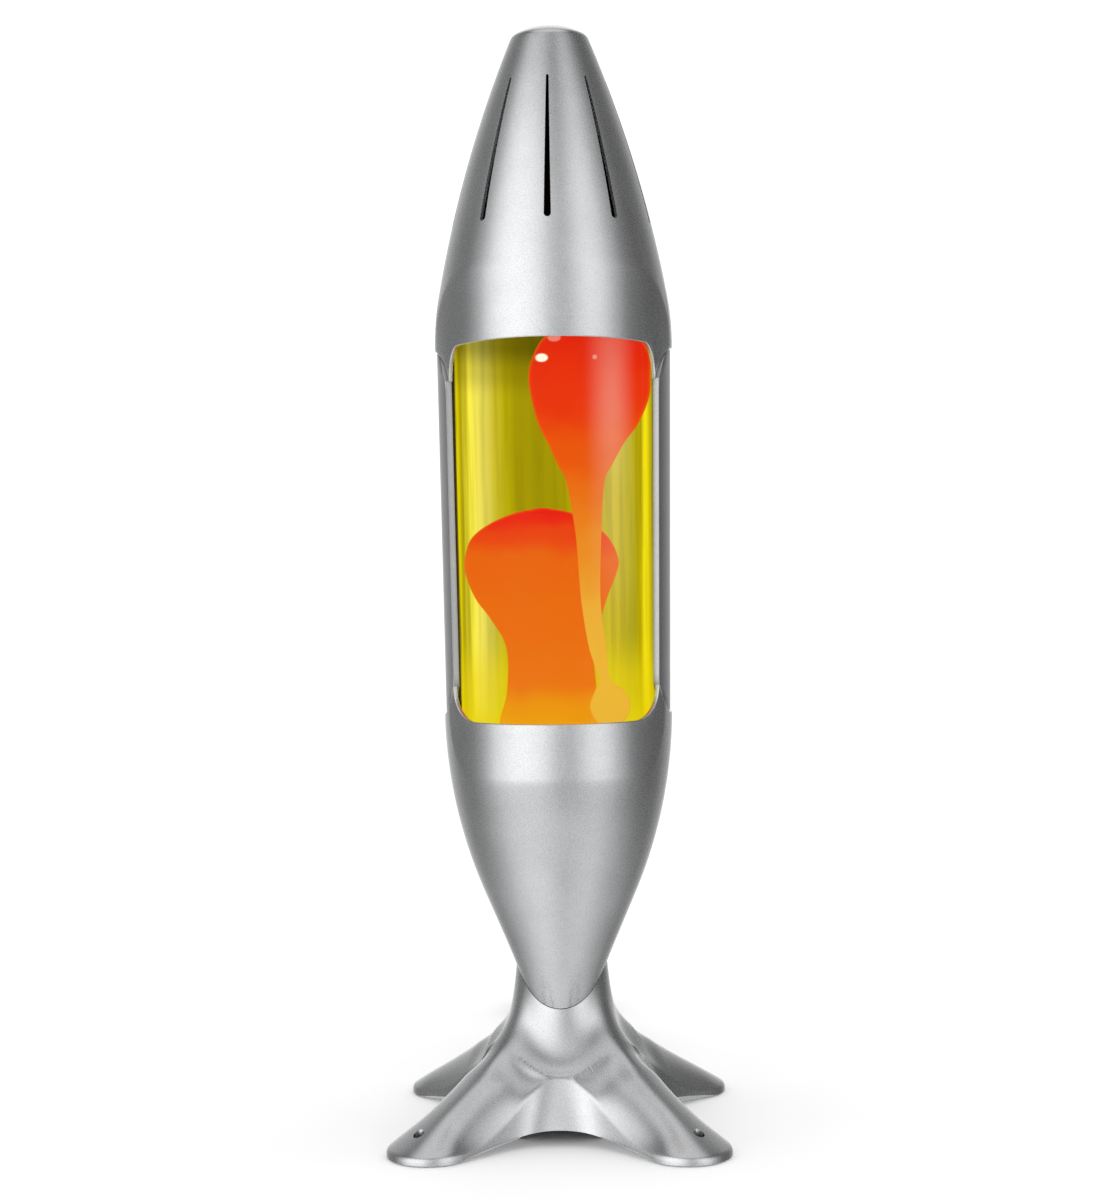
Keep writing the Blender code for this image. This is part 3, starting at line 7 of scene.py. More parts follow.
import bmesh
import bpy
import numpy as np
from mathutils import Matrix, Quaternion, Vector


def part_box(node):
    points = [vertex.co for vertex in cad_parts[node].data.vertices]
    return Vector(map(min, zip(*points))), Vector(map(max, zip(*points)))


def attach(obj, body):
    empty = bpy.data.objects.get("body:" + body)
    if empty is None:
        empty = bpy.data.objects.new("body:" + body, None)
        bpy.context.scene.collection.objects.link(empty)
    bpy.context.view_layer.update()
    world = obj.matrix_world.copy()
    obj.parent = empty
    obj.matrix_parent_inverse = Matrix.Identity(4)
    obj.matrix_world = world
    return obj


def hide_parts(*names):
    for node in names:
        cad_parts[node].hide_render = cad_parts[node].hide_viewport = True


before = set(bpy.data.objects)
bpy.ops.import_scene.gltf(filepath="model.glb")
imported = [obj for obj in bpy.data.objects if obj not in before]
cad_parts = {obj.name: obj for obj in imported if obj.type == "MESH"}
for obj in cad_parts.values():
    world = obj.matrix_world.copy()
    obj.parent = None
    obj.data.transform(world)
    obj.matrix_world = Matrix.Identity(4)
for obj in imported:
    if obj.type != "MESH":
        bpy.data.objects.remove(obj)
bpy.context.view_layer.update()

# ---- Sizes, from the frame where it has them

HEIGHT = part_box("top_shell")[1][2]
BELT_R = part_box("top_shell")[1][0]
BLEND_R = 0.105
FLANK_R = 0.480
SHOULDER_R = 0.004
BLEND_TILT = math.radians(10.2)
FLANK_TILT = math.radians(22.6)
SHOULDER_TILT = math.radians(60)
WAIST_R = 0.0446
WAIST_Z = 0.160
BOWL_R = 0.185
BOWL_TILT = math.radians(1.5)
CONE_TILT = math.radians(23.3)
PINCH_Z = 0.0622
PINCH_R = 0.0180
PINCH_LEAN = 0.10
PINCH_FLARE = 5.5
TONGUE = 0.0090
TONGUE_TOP = 0.120
TONGUE_LOW = 0.046
SPIGOT_R = 0.0165
SPIGOT_TOP = 0.060
SHEET = 0.0015
SHELL_FLOOR = 0.0025  # metal under the bowl
LEDGE_R = 0.0365  # ring inside the bowl that carries the bottle's seat
LEDGE_HEIGHTS = (0.1445, 0.1472, 0.1475)
BOWL_INNER_LOW = 0.0705
BOWL_INNER_HIGH = 0.142
CREASE_TOP = 0.345  # above any crease of the nose
CREASE_BOTTOM = 0.125  # below any crease of the bowl
CREASE_SOFT = 0.0007  # half width of the rounding along a crease
FACET_R = 0.0430
FACET_HALF = math.radians(45)
FACET_RISE = 0.0029 * 0.001 * math.degrees(1) ** 2
WINDOW_TOP = 0.3066
WINDOW_BOTTOM = 0.1615
WINDOW_HALF = math.radians(64)
WINDOW_SAG = 0.0020
CORNER_H = 0.0130
CORNER_TURN_TOP = math.radians(8.5)
CORNER_TURN_BOTTOM = math.radians(18.5)
POINT_POWER = 3.5
STRUT_APEX_TOP = 0.3042
STRUT_APEX_BOTTOM = 0.1626
STRUT_RECESS = 0.0007
STRUT_THICK = 0.0026
STRUT_GAP = 0.00054  # at the ends, between strut and shell
STRUT_ROWS = 30
SLOTS = 9
SLOT_BOTTOM = 0.3515
SLOT_TOP = 0.4074
SLOT_WIDE = 0.0027
SLOT_NARROW = 0.0010
SLOT_NEAR = 0.014  # radii between which the slots' cutters reach
SLOT_FAR = 0.060
SEAM_GAP = 0.0003
SEAM_LOWEST = 0.030
SEAM_HIGHEST = 0.080
SEAM_REACH = 0.27  # share of the way to the foot over which the upper surface follows the neck
RIDGE_REACH = 0.50
VALLEY_REACH = 0.34
FIRM_SPAN = 0.4  # share of VALLEY_R over which the legs get their own section
CROWN_CROWDING = 1.7  # how much closer together the rings are near the seam
SOCKET_FLOOR = 0.0463
FOOT_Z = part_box("base_casting")[0][2]
FOOT_TIP = 0.085
FOOT_CENTRE = 0.0675
FOOT_HALF = 0.017
FOOT_EDGE = 0.0025
SIDE_POWER = 8
CREST_POWER = 1.7
CREST_SLOPE = 0.70
FOOT_SLOPE = 0.60
CROWN_POWER = 2.3
CREST_ROUND = 0.0014
HOLLOW_R = 0.030
HOLLOW_TOP_SHARE = 0.77
HOLLOW_TOP = 0.022
HUB_R = 0.013
VALLEY_R = 0.032
VALLEY_Z = 0.0255
ARCH_R = 0.0387
ARCH_Z = 0.0066
FOOT_HOLE_U = 0.074
FOOT_HOLE_R = 0.0021
FOOT_HOLE_LOW = -0.004  # heights between which the foot holes' cutters reach
FOOT_HOLE_HIGH = 0.030
STEM_HOLE_R = 0.0053
CEILING = 0.038
BOTTLE_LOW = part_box("bottle_glass")[0][2]
BOTTLE_SHOULDER = 0.318
BOTTLE_R_LOW = 0.0399
BOTTLE_R_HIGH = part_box("bottle_glass")[1][0]
GLASS = 0.0017
NECK_R = 0.014
NECK_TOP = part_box("bottle_glass")[1][2]
NECK_LOW = BOTTLE_SHOULDER + 0.0165
NECK_SKIN = 0.006  # how far the inner skin of the neck is made
SHOULDER_RISE = 0.012
SHOULDER_TURN = math.radians(78)
SHOULDER_REACH = 0.92  # share of the way to the neck that the shoulder's curve covers
HEEL_R = 0.004
HEEL_CUT_R = 0.0015
HEEL_CUT_H = 0.0010
LIQUID_GAP = 0.0003
LIQUID_STOP = 0.004  # how far outside the neck the liquid's surface ends
THINNEST_WAX = 0.0004
WAX_ROUND = 0.003  # up to this half depth the wax is as deep as it is wide
HALVINGS = 30


def nose_shoulder_r():
    blend = BLEND_R * (1 - math.cos(BLEND_TILT))
    flank = FLANK_R * (math.cos(BLEND_TILT) - math.cos(FLANK_TILT))
    shoulder = SHOULDER_R * (math.cos(FLANK_TILT) - math.cos(SHOULDER_TILT))
    return BELT_R - blend - flank - shoulder


def belt_z():
    dome = nose_shoulder_r() / math.cos(SHOULDER_TILT) * (1 - math.sin(SHOULDER_TILT))
    shoulder = SHOULDER_R * (math.sin(SHOULDER_TILT) - math.sin(FLANK_TILT))
    flank = FLANK_R * (math.sin(FLANK_TILT) - math.sin(BLEND_TILT))
    return HEIGHT - dome - shoulder - flank - BLEND_R * math.sin(BLEND_TILT)


def nose_arcs():
    """(centre r, centre z, radius, top z) of each arc above the belt."""
    arcs = []
    r, z, tilt = BELT_R, belt_z(), 0.0
    dome = nose_shoulder_r() / math.cos(SHOULDER_TILT)
    for radius, end in (
        (BLEND_R, BLEND_TILT),
        (FLANK_R, FLANK_TILT),
        (SHOULDER_R, SHOULDER_TILT),
        (dome, math.pi / 2),
    ):
        centre_r = r - radius * math.cos(tilt)
        centre_z = z - radius * math.sin(tilt)
        r = centre_r + radius * math.cos(end)
        z = centre_z + radius * math.sin(end)
        arcs.append((centre_r, centre_z, radius, z))
        tilt = end
    return arcs


NOSE = nose_arcs()
BELT_Z = belt_z()
CONE_Z = WAIST_Z - BOWL_R * (math.sin(CONE_TILT) - math.sin(BOWL_TILT))
CONE_R = WAIST_R - BOWL_R * (math.cos(BOWL_TILT) - math.cos(CONE_TILT))


def body_r(z):
    """Radius of the round body at height z."""
    if z < CONE_Z:
        return CONE_R - (CONE_Z - z) * math.tan(CONE_TILT)
    if z < WAIST_Z:
        sine = math.sin(BOWL_TILT) + (WAIST_Z - z) / BOWL_R
        return WAIST_R - BOWL_R * (math.cos(BOWL_TILT) - math.sqrt(1 - sine * sine))
    if z < BELT_Z:
        return WAIST_R + (BELT_R - WAIST_R) * (z - WAIST_Z) / (BELT_Z - WAIST_Z)
    for centre_r, centre_z, radius, top in NOSE:
        if z <= top:
            return centre_r + math.sqrt(max(radius**2 - (z - centre_z) ** 2, 0.0))
    return 0.0


def from_front(phi):
    return math.acos(min(1.0, abs(math.cos(phi))))


def facet_r(phi):
    beyond = max(0.0, from_front(phi) - FACET_HALF)
    return FACET_R + FACET_RISE * beyond * beyond


def tongue_r(phi, z):
    """Radius of the bowl, which is deeper to the front and back at its lower end."""
    share = min(max((TONGUE_TOP - z) / (TONGUE_TOP - TONGUE_LOW), 0.0), 1.0)
    return body_r(z) + TONGUE * share * share * (3 - 2 * share) * math.cos(phi) ** 2


def neck_r(z):
    """Radius of the base's round neck."""
    down = PINCH_Z - z
    return PINCH_R + PINCH_LEAN * down + PINCH_FLARE * max(down, 0.0) ** 2


def waist_r(phi, z):
    return min(tongue_r(phi, z), facet_r(phi))


def crease_z(phi, low, high):
    """Height where the round body is as wide as the flat waist."""
    target = facet_r(phi)
    narrow, wide = (low, high) if body_r(low) < body_r(high) else (high, low)
    if body_r(wide) <= target:
        return wide
    for _ in range(HALVINGS):
        middle = (narrow + wide) / 2
        if body_r(middle) < target:
            narrow = middle
        else:
            wide = middle
    return (narrow + wide) / 2


def corner_drop(phi, turn):
    across = (from_front(phi) - (WINDOW_HALF - turn)) / turn
    across = min(max(across, 0.0), 1.0)
    return CORNER_H * (1 - math.sqrt(1 - across * across))


def strut_rise(phi):
    share = max(0.0, (from_front(phi) - WINDOW_HALF) / (math.pi / 2 - WINDOW_HALF))
    return 1 - (1 - min(share, 1.0)) ** POINT_POWER


def nose_edge(phi):
    tongue = WINDOW_TOP - WINDOW_SAG - CORNER_H
    if from_front(phi) <= WINDOW_HALF:
        sag = WINDOW_SAG * (from_front(phi) / WINDOW_HALF) ** 2
        return WINDOW_TOP - sag - corner_drop(phi, CORNER_TURN_TOP)
    return tongue + (STRUT_APEX_TOP - tongue) * strut_rise(phi)


def bowl_edge(phi):
    tongue = WINDOW_BOTTOM + CORNER_H
    if from_front(phi) <= WINDOW_HALF:
        return WINDOW_BOTTOM + corner_drop(phi, CORNER_TURN_BOTTOM)
    return tongue + (STRUT_APEX_BOTTOM - tongue) * strut_rise(phi)


def seam_z(phi):
    """Height at which the bowl runs into the neck."""
    low, high = SEAM_LOWEST, SEAM_HIGHEST
    for _ in range(HALVINGS):
        middle = (low + high) / 2
        if tongue_r(phi, middle) < neck_r(middle):
            low = middle
        else:
            high = middle
    return low


def place(r, phi, z):
    return Vector((r * math.sin(phi), -r * math.cos(phi), z))


def steps(start, end, count):
    return [start + (end - start) * i / count for i in range(count + 1)]


def shell_azimuths(turn, flat=14, corner=14, point=14):
    """Round the body, close together at window corners that span turn and at the edges of the struts."""
    start = WINDOW_HALF - turn
    quarter = [start * i / flat for i in range(flat)]
    quarter += [start + turn * math.sin(math.pi / 2 * i / corner) for i in range(corner)]
    quarter += [WINDOW_HALF + (math.pi / 2 - WINDOW_HALF) * (i / point) ** 1.6 for i in range(point)]
    half = quarter + [math.pi / 2] + [math.pi - phi for phi in reversed(quarter[1:])]
    return half + [phi + math.pi for phi in half]


# ---- Mesh helpers


def add(name, mesh, look, sharp=35):
    mesh.shade_smooth()
    mesh.set_sharp_from_angle(angle=math.radians(sharp))
    obj = bpy.data.objects.new(name, mesh)
    bpy.context.scene.collection.objects.link(obj)
    if look:
        mesh.materials.append(look)
    return obj


def stand_for(piece, body, replaced):
    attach(piece, body)
    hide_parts(replaced)


def mesh_from(name, bm):
    bmesh.ops.recalc_face_normals(bm, faces=bm.faces)
    mesh = bpy.data.meshes.new(name)
    bm.to_mesh(mesh)
    bm.free()
    return mesh


def loft(name, rings, look, closed=False, sharp=35):
    """Skin through rings of points. A ring of one point is a pole; other open ends are capped."""
    bm = bmesh.new()
    rows = [[bm.verts.new(point) for point in ring] for ring in rings]
    pairs = list(zip(rows, rows[1:]))
    if closed:
        pairs.append((rows[-1], rows[0]))
    for low, high in pairs:
        count = max(len(low), len(high))
        for i in range(count):
            j = (i + 1) % count
            corners = [low[i % len(low)], low[j % len(low)], high[j % len(high)], high[i % len(high)]]
            bm.faces.new(list(dict.fromkeys(corners)))
    if not closed:
        for row in (rows[0], rows[-1]):
            if len(row) > 2:
                bm.faces.new(row)
    return add(name, mesh_from(name, bm), look, sharp)


def turned(name, profile, look, segments=128):
    """Skin of revolution from a profile of (r, z) that starts on the axis."""
    azimuths = [2 * math.pi * i / segments for i in range(segments)]
    rings = []
    for r, z in profile:
        rings.append([Vector((0.0, 0.0, z))] if r == 0 else [place(r, phi, z) for phi in azimuths])
    return loft(name, rings, look)


def cut(obj, cutter):
    """Takes the cutter out of the object for good."""
    difference = obj.modifiers.new("cut", "BOOLEAN")
    difference.operation = "DIFFERENCE"
    difference.solver = "EXACT"
    difference.object = cutter
    bake(obj)
    bpy.data.objects.remove(cutter)


def bake(obj):
    graph = bpy.context.evaluated_depsgraph_get()
    mesh = bpy.data.meshes.new_from_object(obj.evaluated_get(graph))
    obj.modifiers.clear()
    obj.data = mesh


# ---- Materials


def new_material(name):
    made = bpy.data.materials.new(name)
    made.use_nodes = True
    nodes = made.node_tree.nodes
    nodes.clear()
    output = nodes.new("ShaderNodeOutputMaterial")
    return made, nodes, made.node_tree.links, output


def node(nodes, kind, **values):
    made = nodes.new(kind)
    for key, value in values.items():
        setattr(made, key, value)
    return made


def math_node(nodes, links, operation, *inputs, clamp=False):
    made = node(nodes, "ShaderNodeMath", operation=operation, use_clamp=clamp)
    for socket, value in zip(made.inputs, inputs):
        if isinstance(value, (int, float)):
            socket.default_value = value
        else:
            links.new(value, socket)
    return made.outputs[0]


def ramp(nodes, links, factor, stops, interpolation="EASE"):
    """Colour ramp through (position, colour) stops."""
    made = nodes.new("ShaderNodeValToRGB")
    made.color_ramp.interpolation = interpolation
    elements = made.color_ramp.elements
    while len(elements) < len(stops):
        elements.new(0.5)
    for element, (position, colour) in zip(elements, stops):
        element.position = position
        element.color = (*colour, 1.0)
    links.new(factor, made.inputs["Fac"])
    return made.outputs["Color"]


def noise(nodes, links, vector, scale, detail=3.0, roughness=0.6):
    made = nodes.new("ShaderNodeTexNoise")
    made.inputs["Scale"].default_value = scale
    made.inputs["Detail"].default_value = detail
    made.inputs["Roughness"].default_value = roughness
    links.new(vector, made.inputs["Vector"])
    return made.outputs["Fac"]


def add_bump(nodes, links, shader, height, strength, distance):
    bump = nodes.new("ShaderNodeBump")
    bump.inputs["Strength"].default_value = strength
    bump.inputs["Distance"].default_value = distance
    links.new(height, bump.inputs["Height"])
    links.new(bump.outputs["Normal"], shader.inputs["Normal"])


def mix_shaders(nodes, links, factor, first, second, output):
    """Shows the first shader where factor is 0 and the second where it is 1."""
    both = nodes.new("ShaderNodeMixShader")
    if isinstance(factor, float):
        both.inputs["Fac"].default_value = factor
    else:
        links.new(factor, both.inputs["Fac"])
    links.new(first, both.inputs[1])
    links.new(second, both.inputs[2])
    links.new(both.outputs[0], output)


def own_place(nodes):
    """The point on the object, in its own frame."""
    return nodes.new("ShaderNodeTexCoord").outputs["Object"]


FLAKE_SCALE = 2600.0
CLOUD_SCALE = 60.0
FLAKE_GRAIN = 0.10
INWARD = -0.008  # below this a face of a round body looks at its axis
# Painted shade: matt black for the faces inside the silver shells
INSIDE_SHADE_BLACK = (0.012, 0.012, 0.013, 1.0)
FINE_BUMP = 0.00004
COARSE_BUMP = 0.00008


def metal_paint(name, dark, light, roughness, shade_inside=False):
    """Satin metallic paint with fine flakes and slow clouds, and on request painted shade: matt black inside.
    """
    made, nodes, links, output = new_material(name)
    shader = nodes.new("ShaderNodeBsdfPrincipled")
    place_at = own_place(nodes)
    flakes = noise(nodes, links, place_at, FLAKE_SCALE, 2.0, 0.7)
    clouds = noise(nodes, links, place_at, CLOUD_SCALE)
    mixed = math_node(nodes, links, "MULTIPLY_ADD", flakes, 0.8, 0.0)
    mixed = math_node(nodes, links, "MULTIPLY_ADD", clouds, 0.2, mixed)
    colour = ramp(nodes, links, mixed, ((0.34, dark), (0.66, light)), "LINEAR")
    links.new(colour, shader.inputs["Base Color"])
    rough = math_node(nodes, links, "MULTIPLY_ADD", flakes, FLAKE_GRAIN, roughness - FLAKE_GRAIN / 2)
    links.new(rough, shader.inputs["Roughness"])
    shader.inputs["Metallic"].default_value = 0.92
    add_bump(nodes, links, shader, flakes, 0.10, 0.00006)
    if not shade_inside:
        links.new(shader.outputs[0], output.inputs["Surface"])
        return made
    outward = node(nodes, "ShaderNodeVectorMath", operation="DOT_PRODUCT")
    links.new(nodes.new("ShaderNodeNewGeometry").outputs["Normal"], outward.inputs[0])
    flat = node(nodes, "ShaderNodeVectorMath", operation="MULTIPLY")
    flat.inputs[1].default_value = (1.0, 1.0, 0.0)
    links.new(place_at, flat.inputs[0])
    links.new(flat.outputs[0], outward.inputs[1])
    # Painted shade: faces that look at the axis show matt black
    inside = math_node(nodes, links, "LESS_THAN", outward.outputs["Value"], INWARD)
    inside_shade = nodes.new("ShaderNodeBsdfDiffuse")
    inside_shade.inputs["Color"].default_value = INSIDE_SHADE_BLACK
    mix_shaders(nodes, links, inside, shader.outputs[0], inside_shade.outputs[0], output.inputs["Surface"])
    return made


def simple(name, dark, light, roughness, metallic=0.0, scale=900.0, bump=FINE_BUMP):
    """Material with a fine procedural grain in colour, roughness and bump."""
    made, nodes, links, output = new_material(name)
    shader = nodes.new("ShaderNodeBsdfPrincipled")
    place_at = own_place(nodes)
    grain = noise(nodes, links, place_at, scale)
    links.new(ramp(nodes, links, grain, ((0.3, dark), (0.7, light))), shader.inputs["Base Color"])
    rough = math_node(nodes, links, "MULTIPLY_ADD", grain, 0.15, roughness - 0.07)
    links.new(rough, shader.inputs["Roughness"])
    shader.inputs["Metallic"].default_value = metallic
    add_bump(nodes, links, shader, grain, 0.4, bump)
    links.new(shader.outputs[0], output.inputs["Surface"])
    return made


def height_share(nodes, links, low, high):
    """0 at height low and 1 at height high, in the object's own frame."""
    split = nodes.new("ShaderNodeSeparateXYZ")
    links.new(own_place(nodes), split.inputs[0])
    made = nodes.new("ShaderNodeMapRange")
    made.inputs["From Min"].default_value = low
    made.inputs["From Max"].default_value = high
    links.new(split.outputs["Z"], made.inputs["Value"])
    return made.outputs["Result"]


def facing(nodes, links):
    """1 where the surface faces the viewer and 0 at its outline."""
    turn = nodes.new("ShaderNodeNewGeometry")
    dot = node(nodes, "ShaderNodeVectorMath", operation="DOT_PRODUCT")
    links.new(turn.outputs["Normal"], dot.inputs[0])
    links.new(turn.outputs["Incoming"], dot.inputs[1])
    return math_node(nodes, links, "ABSOLUTE", dot.outputs["Value"]), turn


def linear(value):
    """Linear light from a display value of 0 to 255."""
    return ((value / 255 + 0.055) / 1.055) ** 2.4 if value > 10 else value / 255 / 12.92


def srgb(red, green, blue):
    return linear(red), linear(green), linear(blue)


def grey(value):
    return value, value, value


def greys(*stops):
    """Ramp stops from pairs of position and grey level."""
    return [(position, grey(value)) for position, value in stops]


def across_view(nodes, links):
    """0 at the left outline of a round upright body and 1 at its right outline, as the viewer sees it."""
    turn = nodes.new("ShaderNodeNewGeometry")
    cross = node(nodes, "ShaderNodeVectorMath", operation="CROSS_PRODUCT")
    links.new(turn.outputs["Normal"], cross.inputs[0])
    links.new(turn.outputs["Incoming"], cross.inputs[1])
    split = nodes.new("ShaderNodeSeparateXYZ")
    links.new(cross.outputs[0], split.inputs[0])
    return math_node(nodes, links, "MULTIPLY_ADD", split.outputs["Z"], 0.5, 0.5, clamp=True), turn


def colour_mix(nodes, links, factor, first, second, blend="MIX"):
    made = node(nodes, "ShaderNodeMix", data_type="RGBA", blend_type=blend)
    for socket, value in (("Factor", factor), ("A", first), ("B", second)):
        if isinstance(value, float):
            made.inputs[socket].default_value = value
        elif isinstance(value, tuple):
            made.inputs[socket].default_value = (*value, 1.0)
        else:
            links.new(value, made.inputs[socket])
    return made.outputs["Result"]


# Painted light across the liquid, from its left outline at 0 to its right at 1: bright yellow and dark lines
# near the outlines and a pale sheen band
LIQUID_PAINTED_LIGHT = (
    (0.000, (122, 112, 30)),
    (0.006, (235, 213, 4)),
    (0.025, (176, 161, 7)),
    (0.045, (204, 189, 31)),
    (0.075, (253, 238, 73)),
    (0.105, (240, 225, 87)),
    (0.155, (219, 205, 80)),
    (0.205, (200, 184, 36)),
    (0.255, (186, 170, 4)),
    (0.305, (168, 151, 2)),
    (0.420, (160, 145, 2)),
    (0.640, (176, 158, 6)),
    (0.800, (204, 184, 40)),
    (0.876, (188, 174, 36)),
    (0.925, (180, 162, 5)),
    (0.960, (246, 228, 20)),
    (0.985, (191, 174, 14)),
    (1.000, (96, 88, 24)),
)


def liquid_look():
    """Lit liquid, all painted light: the near wall is clear and the far wall is an emission, in upright bands
    of painted light and shade round the bottle.
    """
    made, nodes, links, output = new_material("lit_yellow_liquid")
    across, turn = across_view(nodes, links)
    split = nodes.new("ShaderNodeSeparateXYZ")
    coords = own_place(nodes)
    links.new(coords, split.inputs[0])
    angle = math_node(nodes, links, "ARCTAN2", split.outputs["X"], split.outputs["Y"])
    streak_at = nodes.new("ShaderNodeCombineXYZ")
    links.new(math_node(nodes, links, "MULTIPLY", angle, 6.0), streak_at.inputs["X"])
    links.new(math_node(nodes, links, "MULTIPLY", split.outputs["Z"], 6.0), streak_at.inputs["Y"])
    streaks = noise(nodes, links, streak_at.outputs[0], 2.2, 3.0, 0.55)
    wander = math_node(nodes, links, "MULTIPLY_ADD", streaks, 0.03, -0.015)
    band = math_node(nodes, links, "ADD", across, wander)
    bands = ramp(nodes, links, band, [(at, srgb(*colour)) for at, colour in LIQUID_PAINTED_LIGHT])
    share = height_share(nodes, links, 0.155, 0.310)
    # Painted shade: darker towards the top under the nose cap, a little brighter low down
    shade = ramp(nodes, links, share, greys((0.0, 1.1), (0.24, 1.0), (0.85, 1.0), (0.92, 0.72), (0.99, 0.38)))
    colour = colour_mix(nodes, links, 1.0, bands, shade, "MULTIPLY")
    tones = ramp(nodes, links, streaks, ((0.32, (0.86, 0.86, 0.80)), (0.62, (1.06, 1.06, 1.06))))
    colour = colour_mix(nodes, links, 1.0, colour, tones, "MULTIPLY")
    # Painted light of the bulb: the lowest part of the liquid is mixed towards bright yellow
    lit = ramp(nodes, links, share, greys((0.0, 0.85), (0.10, 0.6), (0.26, 0.0)))
    colour = colour_mix(nodes, links, lit, colour, srgb(232, 210, 10))
    # Painted light: the far wall is an emission
    painted_light = nodes.new("ShaderNodeEmission")
    links.new(colour, painted_light.inputs["Color"])
    clear = nodes.new("ShaderNodeBsdfTransparent")
    far = turn.outputs["Backfacing"]
    mix_shaders(nodes, links, far, clear.outputs[0], painted_light.outputs[0], output.inputs["Surface"])
    return made


def wax_look(name, low, high, stops):
    """Wax shown all in painted light, as an emission: yellow over the bulb, where its light is painted in,
    red at the top, and more orange at its outline as painted light.
    """
    made, nodes, links, output = new_material(name)
    share = height_share(nodes, links, low, high)
    coords = own_place(nodes)
    cloud = noise(nodes, links, coords, 55.0, 2.0)
    share = math_node(nodes, links, "ADD", share, math_node(nodes, links, "MULTIPLY_ADD", cloud, 0.12, -0.06))
    colour = ramp(nodes, links, share, [(at, srgb(*shade)) for at, shade in stops])
    face, _ = facing(nodes, links)
    # Painted light: the colour turns orange towards the outline as seen
    outline = ramp(nodes, links, face, greys((0.0, 0.55), (0.40, 0.0)))
    tone = colour_mix(nodes, links, outline, colour, srgb(236, 122, 15))
    painted_light = nodes.new("ShaderNodeEmission")
    links.new(tone, painted_light.inputs["Color"])
    skin = nodes.new("ShaderNodeBsdfPrincipled")
    skin.inputs["Roughness"].default_value = 0.35
    links.new(colour, skin.inputs["Base Color"])
    mix_shaders(nodes, links, 0.04, painted_light.outputs[0], skin.outputs[0], output.inputs["Surface"])
    return made


def spot(nodes, links, split, centre, wide, high):
    """1 inside a small ellipse on the front of the glass, with a soft edge: the mask of a painted glare."""
    x = math_node(nodes, links, "SUBTRACT", split.outputs["X"], centre[0])
    x = math_node(nodes, links, "DIVIDE", x, wide)
    z = math_node(nodes, links, "SUBTRACT", split.outputs["Z"], centre[1])
    z = math_node(nodes, links, "DIVIDE", z, high)
    squares = math_node(nodes, links, "MULTIPLY_ADD", x, x, math_node(nodes, links, "MULTIPLY", z, z))
    return math_node(nodes, links, "MULTIPLY_ADD", squares, -1.2, 1.9, clamp=True)


# Centre (x, z), half width, half height and strength of each painted glare on the glass, a lamp's reflection
# painted in
PAINTED_GLARES = (
    ((-0.0028, 0.2988), 0.0021, 0.0014, 1.0),
    ((0.0020, 0.3062), 0.0022, 0.0013, 0.22),
    ((0.0170, 0.2990), 0.0008, 0.0008, 0.30),
)
PAINTED_HIGHLIGHT = 0.17  # how strong the painted upright highlight is


